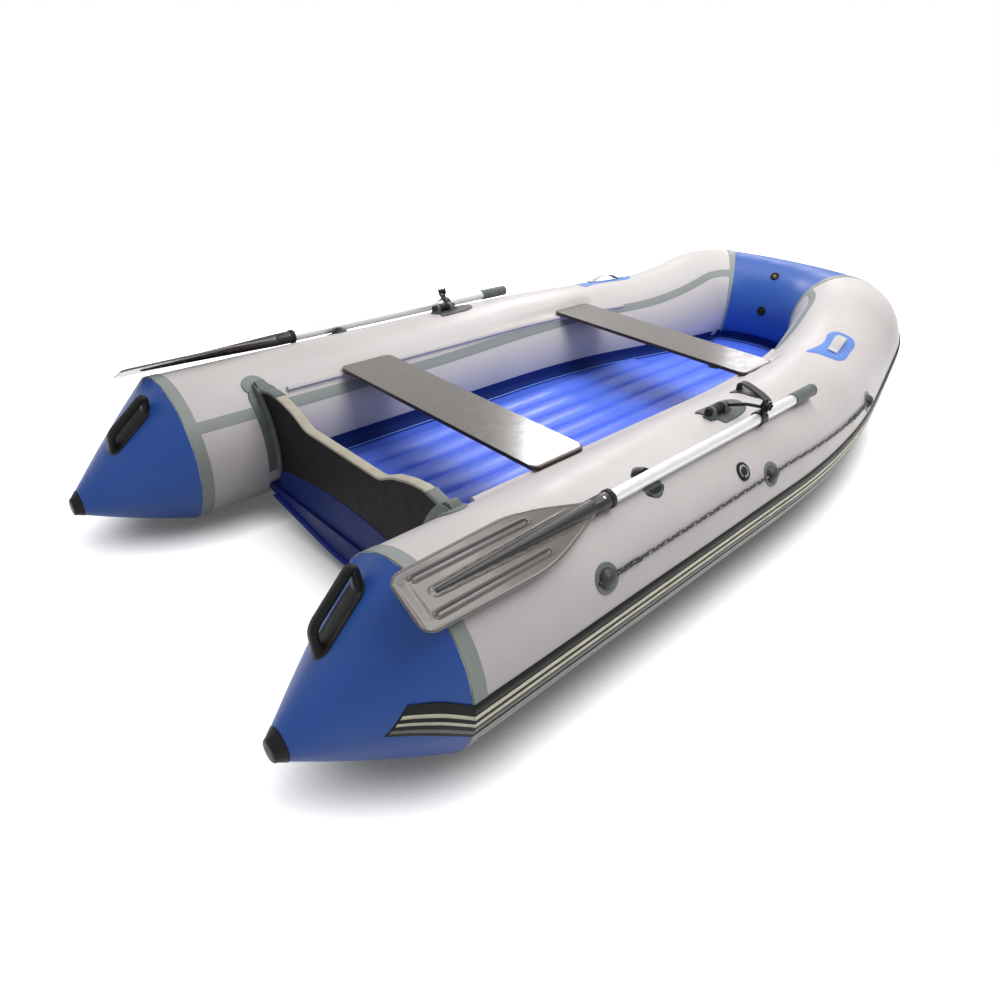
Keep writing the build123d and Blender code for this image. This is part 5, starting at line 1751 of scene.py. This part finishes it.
half_bar = [(0.030, 0.0495), (0.062, 0.0500), (0.072, 0.040), (0.071, 0.014), (0.071, -0.004)]
bar_marks = [(-x, lift) for x, lift in half_bar[::-1]] + [(0.0, 0.0490)] + half_bar
bar_path = smooth_path([on_handle(x, 0, lift) for x, lift in bar_marks], 40)
bar_section = []
for k in range(20):
    c, t = cos(2 * pi * k / 20), sin(2 * pi * k / 20)
    bar_section.append((0.0128 * copysign(abs(c) ** 0.7, c), 0.0092 * copysign(abs(t) ** 0.7, t)))
bar_scales = [1.0 + 0.25 * bump(i / 39, 0, 0.10) + 0.25 * bump(i / 39, 1, 0.10) for i in range(40)]
shape = carried(bar_path, bar_section, round_cone, bar_scales)
both_sides("cone_handle_bar", shape, black_rubber, "black_rubber", smooth=70)
print("cone handles made")

# %% [markdown]
# A carry strap is a length of webbing, glued and stitched at both ends and slack in the middle. Its
# blue patch has a wavy outline, which is softened from a few corners. The strap is a thin section
# whose lift follows an arch.

# %% Carry patches and straps
carry_along = STRAIGHT_RUN + GENTLE_LENGTH
CARRY_ANGLE = 76.0
wavy = soft_outline((
    (0.150, 0.0), (0.148, 0.036), (0.105, 0.058), (0.0, 0.055), (-0.100, 0.058), (-0.150, 0.040),
    (-0.166, 0.000), (-0.170, -0.040), (-0.185, -0.082), (-0.120, -0.060), (-0.040, -0.046),
    (0.040, -0.052), (0.105, -0.058), (0.148, -0.036)), 96)
shape = patch(wavy, carry_along, CARRY_ANGLE, patch_layers(0.0015, edge=0.985))
both_sides("carry_patch_skin", shape, patch_fabric, "patch_fabric", ["carry_patch"])


def on_carry(x, y, lift):
    """A point by the carry strap: x along the tube, y down its outer side, lift off its skin."""
    return on_hull(carry_along + x, CARRY_ANGLE - round_tube(y), lift)


half_strap = [(0.009, 0.0030), (0.0182, 0.0026), (0.0190, 0.0018), (0.019, 0.0)]
strap_section = ([(-y, t) for y, t in half_strap[::-1]] + [(0.0, 0.0030)] + half_strap
                 + [(0.009, 0.0), (0.0, 0.0), (-0.009, 0.0)])
rows = []
for x in steps(-0.103, 0.103, 0.005):
    lift = 0.0030 + 0.0215 * max(0.0, 1 - (x / 0.069) ** 2) ** 0.85
    rows.append([on_carry(x, y, lift + t) for y, t in strap_section])
both_sides("carry_strap", grid(rows), webbing_cloth, "webbing", ["carry_handle"], smooth=60)
print("carry straps made")

# %% [markdown]
# A box of stitches holds each end of a strap. Its four sides are short paths just above the
# webbing, and the bead tree puts the thread on them.

# %% Stitches
STITCH_LIFT, BOX_START, BOX_END, BOX_SIDE = 0.0062, 0.074, 0.098, 0.016
for side, sign in SIDES:
    seams = []
    for end in (-1, 1):
        for x in (BOX_START, BOX_END):
            seams.append([on_carry(end * x, y, STITCH_LIFT) for y in (-BOX_SIDE, 0.0, BOX_SIDE)])
        for y in (-BOX_SIDE, BOX_SIDE):
            seams.append([on_carry(end * x, y, STITCH_LIFT) for x in (BOX_START, BOX_END)])
    seams = [sided(path, sign) for path in seams]
    done(beads(f"strap_stitches_{side}", seams, thread, 0.0035, 0.0028, 0.0009), "hull")
print("stitched seams:", len(seams), "a side")

# %% [markdown]
# ## Lifeline
# A thin braided rope runs along each tube through three moulded holders, with a spliced stretch by
# the first and the last. It is held taut along its whole length, so it isn't a free cord. A dark
# core tube gives it body, and the plaits are beads that turn round it, every fourth one pale.

# %% Rope
rope_marks = ((0.359, 26.0), (STRAIGHT_RUN, 25.0), (station_along(1.944), 17.5))
rope_low, rope_high = 0.375, rope_marks[-1][0] - 0.012


def rope_path(low, high, aside=0.0):
    """Points on the rope's line, between two distances along the tube."""
    return [on_hull(s, read_off(s, rope_marks) + round_tube(aside), 0.006) for s in steps(low, high, 0.012)]


core = rope_path(rope_low, rope_high)
shape = carried(core, ellipse(0.0038, 0.0038, 8), Vector((0, 0, 1)))
both_sides("rope_core", shape, rope_fibre, "rope", ["lifeline"])
splices = [rope_path(0.432, 0.520), rope_path(rope_high - 0.27, rope_high - 0.19)]
pair = [rope_path(rope_high - 0.19, rope_high - 0.075, aside) for aside in (-0.0045, 0.0045)]
tones = (("dark_a", rope_fibre), ("dark_b", rope_fibre), ("dark_c", rope_fibre), ("pale", rope_fibre_pale))
for side, sign in SIDES:
    for phase, (tone, finish) in enumerate(tones):
        plaits = beads(f"rope_plaits_{tone}_{side}", [sided(core, sign)], finish, 0.0030, 0.0100, 0.0040,
                       turn=2.2, radius=0.0034, tilt=0.35, every=4, phase=phase)
        done(plaits, "hull")
    thick = [sided(path, sign) for path in splices]
    done(beads(f"rope_splice_{side}", thick, rope_fibre, 0.0026, 0.0100, 0.0046, turn=2.2, radius=0.0050,
               tilt=0.5), "hull")
    double = [sided(path, sign) for path in pair]
    done(beads(f"rope_pair_{side}", double, rope_fibre, 0.0030, 0.0080, 0.0034, turn=2.2, radius=0.0010,
               tilt=0.3), "hull")
print("rope:", round(rope_high - rope_low, 3), "m a side")

# %% [markdown]
# A holder is a glued disc with a hood, and the rope runs into a mouth on each side of it. The end
# holders have one mouth only. The hood is a dome pinched across the rope's run.

# %% Rope holders
rim_layers = [(1.0, -0.002), (1.0, 0.0012), (0.97, 0.0030), (0.88, 0.0036), (0.82, 0.0026),
              (0.6, 0.0026), (0.02, 0.0026)]
mouth_profile = [(0.0001, 0.0), (0.0078, 0.0005), (0.0092, 0.0030), (0.0086, 0.0062),
                 (0.0066, 0.0066), (0.0052, 0.0040), (0.0001, 0.0030)]


def hood(place, forward, across, outward):
    """A dome on the holder's disc, narrower across the rope towards its top."""
    rows = []
    for k in range(13):
        climb = radians(90 * k / 12)
        level, wide = sin(climb), 0.0245 * cos(climb) ** 0.8
        ring = []
        for i in range(36):
            a = 2 * pi * i / 36
            pinch = 1 - 0.22 * level * abs(sin(a))
            ring.append(place + forward * (wide * cos(a) * 1.05)
                        + across * (wide * sin(a) * pinch) + outward * (0.0015 + 0.0205 * level))
        rows.append(ring)
    return grid(rows)


holders = ((0.405, 26.0, (1,)), (1.127, 25.0, (-1, 1)), (station_along(1.898), 18.0, (-1,)))
for number, (along, angle, mouths) in enumerate(holders, start=1):
    shape = patch(ellipse(0.037, 0.037, 45), along, angle, rim_layers)
    both_sides(f"holder_rim_{number}", shape, holder_grey, "holder_plastic", [f"rope_holder_{number}"])
    place, forward, across, outward = hull_plane(along, angle)
    shape = hood(place, forward, across, outward)
    both_sides(f"holder_hood_{number}", shape, hood_rubber, "holder_plastic", smooth=60)
    for way in mouths:
        mouth = place + forward * (0.0175 * way) + outward * 0.0075
        shape = turned(mouth_profile, mouth, forward * way, 24)
        label = f"holder_mouth_{number}_{'fore' if way > 0 else 'aft'}"
        both_sides(label, shape, black_plastic, "holder_plastic")
print("rope holders:", 2 * len(holders))

# %% [markdown]
# ## Valves
# Each chamber has a valve: a ring glued into the skin, with a cap inside it. The cap carries a hub
# with a bar to turn it by. Three profiles and one bead make it.

# %% A valve's three turned pieces
def turned_back(radius, *marks):
    """A profile whose radii are written as steps in from the valve's rim."""
    return [(radius - inset, height) for inset, height in marks]


def valve_profiles(radius):
    """The ring glued into the skin, the cap inside it and the hub on the cap."""
    ring = turned_back(radius, (0.004, -0.004), (0, -0.004), (0, 0.0022), (0.0015, 0.0040),
                       (0.0050, 0.0046), (0.0062, 0.0030), (0.0070, 0.0022), (0.009, 0.0020))
    cap = turned_back(radius, (0.0085, 0.0010), (0.0085, 0.0046), (0.0100, 0.0058), (0.0125, 0.0052),
                      (0.0130, 0.0030)) + [(0.0001, 0.0026)]
    hub = turned_back(radius, (0.0150, 0.0020), (0.0150, 0.0046), (0.0160, 0.0056),
                      (0.0170, 0.0054)) + [(0.0030, 0.0050), (0.0001, 0.0050)]
    return ring, cap, hub


def valve(name, centre, outward, radius, cap_finish, hub_finish, slot, paired=False):
    """A turned black ring with a cap inside it, a hub on the cap and a bar across the hub."""
    ring, cap, hub = valve_profiles(radius)
    place = both_sides if paired else single
    place(f"{name}_ring", turned(ring, centre, outward), black_plastic, slot, [name])
    place(f"{name}_cap", turned(cap, centre, outward), cap_finish, slot)
    place(f"{name}_hub", turned(hub, centre, outward), hub_finish, slot)
    first = outward.orthogonal().normalized()
    half_bar = radius - 0.011
    bar = [centre + first * reach + outward * 0.0058 for reach in (-half_bar, half_bar)]
    for ending, sign in (("_port", 1), ("_starboard", -1)) if paired else (("", 1),):
        piece = beads(f"{name}_bar{ending}", [sided(bar, sign)], hub_finish, 2 * half_bar, 2 * half_bar,
                      0.0050, every=2)
        done(piece, "hull")
    print(name, "made,", round(2000 * radius), "mm wide")


# %% [markdown]
# The tube valves sit at their own angle. The two at the bow and the one in the floor stand where
# the CAD model has them, and each looks straight out from the skin below it.

# %% Valves
place, _, _, outward = hull_plane(1.005, 37.5)
valve("tube_valve", place, outward, 0.027, valve_plastic, black_plastic, "valve_grey", paired=True)
for name, hub_finish in (("bow_valve_upper", brass_plastic), ("bow_valve_lower", black_plastic)):
    low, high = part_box(name)
    middle = (low + high) / 2
    nearest = min(steps(TUBE_LENGTH, HALF_LENGTH, 0.002), key=lambda s: abs(hull_frame(s)[0].y - middle.y))
    centre, forward = hull_frame(nearest)[:2]
    toward = middle - centre
    toward = (toward - forward * toward.dot(forward)).normalized()
    valve(name, centre + toward * TUBE, toward, 0.022, black_plastic, hub_finish, "valve_dark")
low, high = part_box("floor_valve")
middle = (low + high) / 2
middle.z = floor_height(middle.x, middle.y)
valve("floor_valve", middle, Vector((0, 0, 1)), 0.028, black_plastic, black_plastic, "valve_dark")

# %% [markdown]
# ## Transom holders
# Rubber profiles glued to the tubes clasp the board's ends. Above them the pad ends in a half disc.

# %% Pads and lips
HOLDER_ALONG, HIGH_END, LOW_END = 0.253, 128.0, 196.0


def holder_row(low, high, angle, top):
    """A holder's section: a block with bevelled upper edges between two distances along."""
    section = ((low, -0.002), (low, top * 0.6), (low + 0.0015, top), (high - 0.0015, top),
               (high, top * 0.6), (high, -0.002))
    return [on_hull(along, angle, lift) for along, lift in section]


rows = []
for angle in steps(HIGH_END - 4, LOW_END, 2.5):
    away = max(0.0, (HIGH_END + 8 - angle) / 12)
    half = 0.048 * sqrt(max(0.04, 1 - away ** 2))
    rows.append(holder_row(HOLDER_ALONG - half, HOLDER_ALONG + half, angle, 0.0055))
both_sides("transom_pad", grid(rows), grey_rubber, "grey_rubber", ["transom_holder"], smooth=50)
for name, low, high in (("lip_aft", 0.2300, 0.2385), ("lip_fore", 0.2675, 0.2760)):
    rows = []
    for angle in steps(HIGH_END - 4, LOW_END, 2.5):
        rows.append(holder_row(low, high, angle, 0.004 + 0.025 * clamp((angle - HIGH_END + 4) / 10) ** 0.5))
    both_sides(f"transom_{name}", grid(rows), grey_rubber, "grey_rubber", smooth=50)
print("pads and lips:", len(rows), "rows each")

# %% [markdown]
# A plug closes the slot between the lips above the board's end, and a disc covers the pad's top.

# %% Plugs and discs
rows = []
for step, lift in ((-4.5, 0.010), (-4, 0.020), (-2, 0.0265), (6, 0.0275), (12, 0.0275), (12.5, 0.004)):
    section = ((0.2380, 0.001), (0.2380, lift), (0.2530, lift + 0.0006), (0.2680, lift), (0.2680, 0.001))
    rows.append([on_hull(along, HIGH_END + step, height) for along, height in section])
both_sides("transom_plug", grid(rows), grey_rubber, "grey_rubber")
shape = patch(ellipse(0.037, 0.037, 36), HOLDER_ALONG - 0.012, 124.0, patch_layers(0.0045))
both_sides("transom_disc", shape, disc_rubber, "grey_rubber")
print("plugs and discs made")
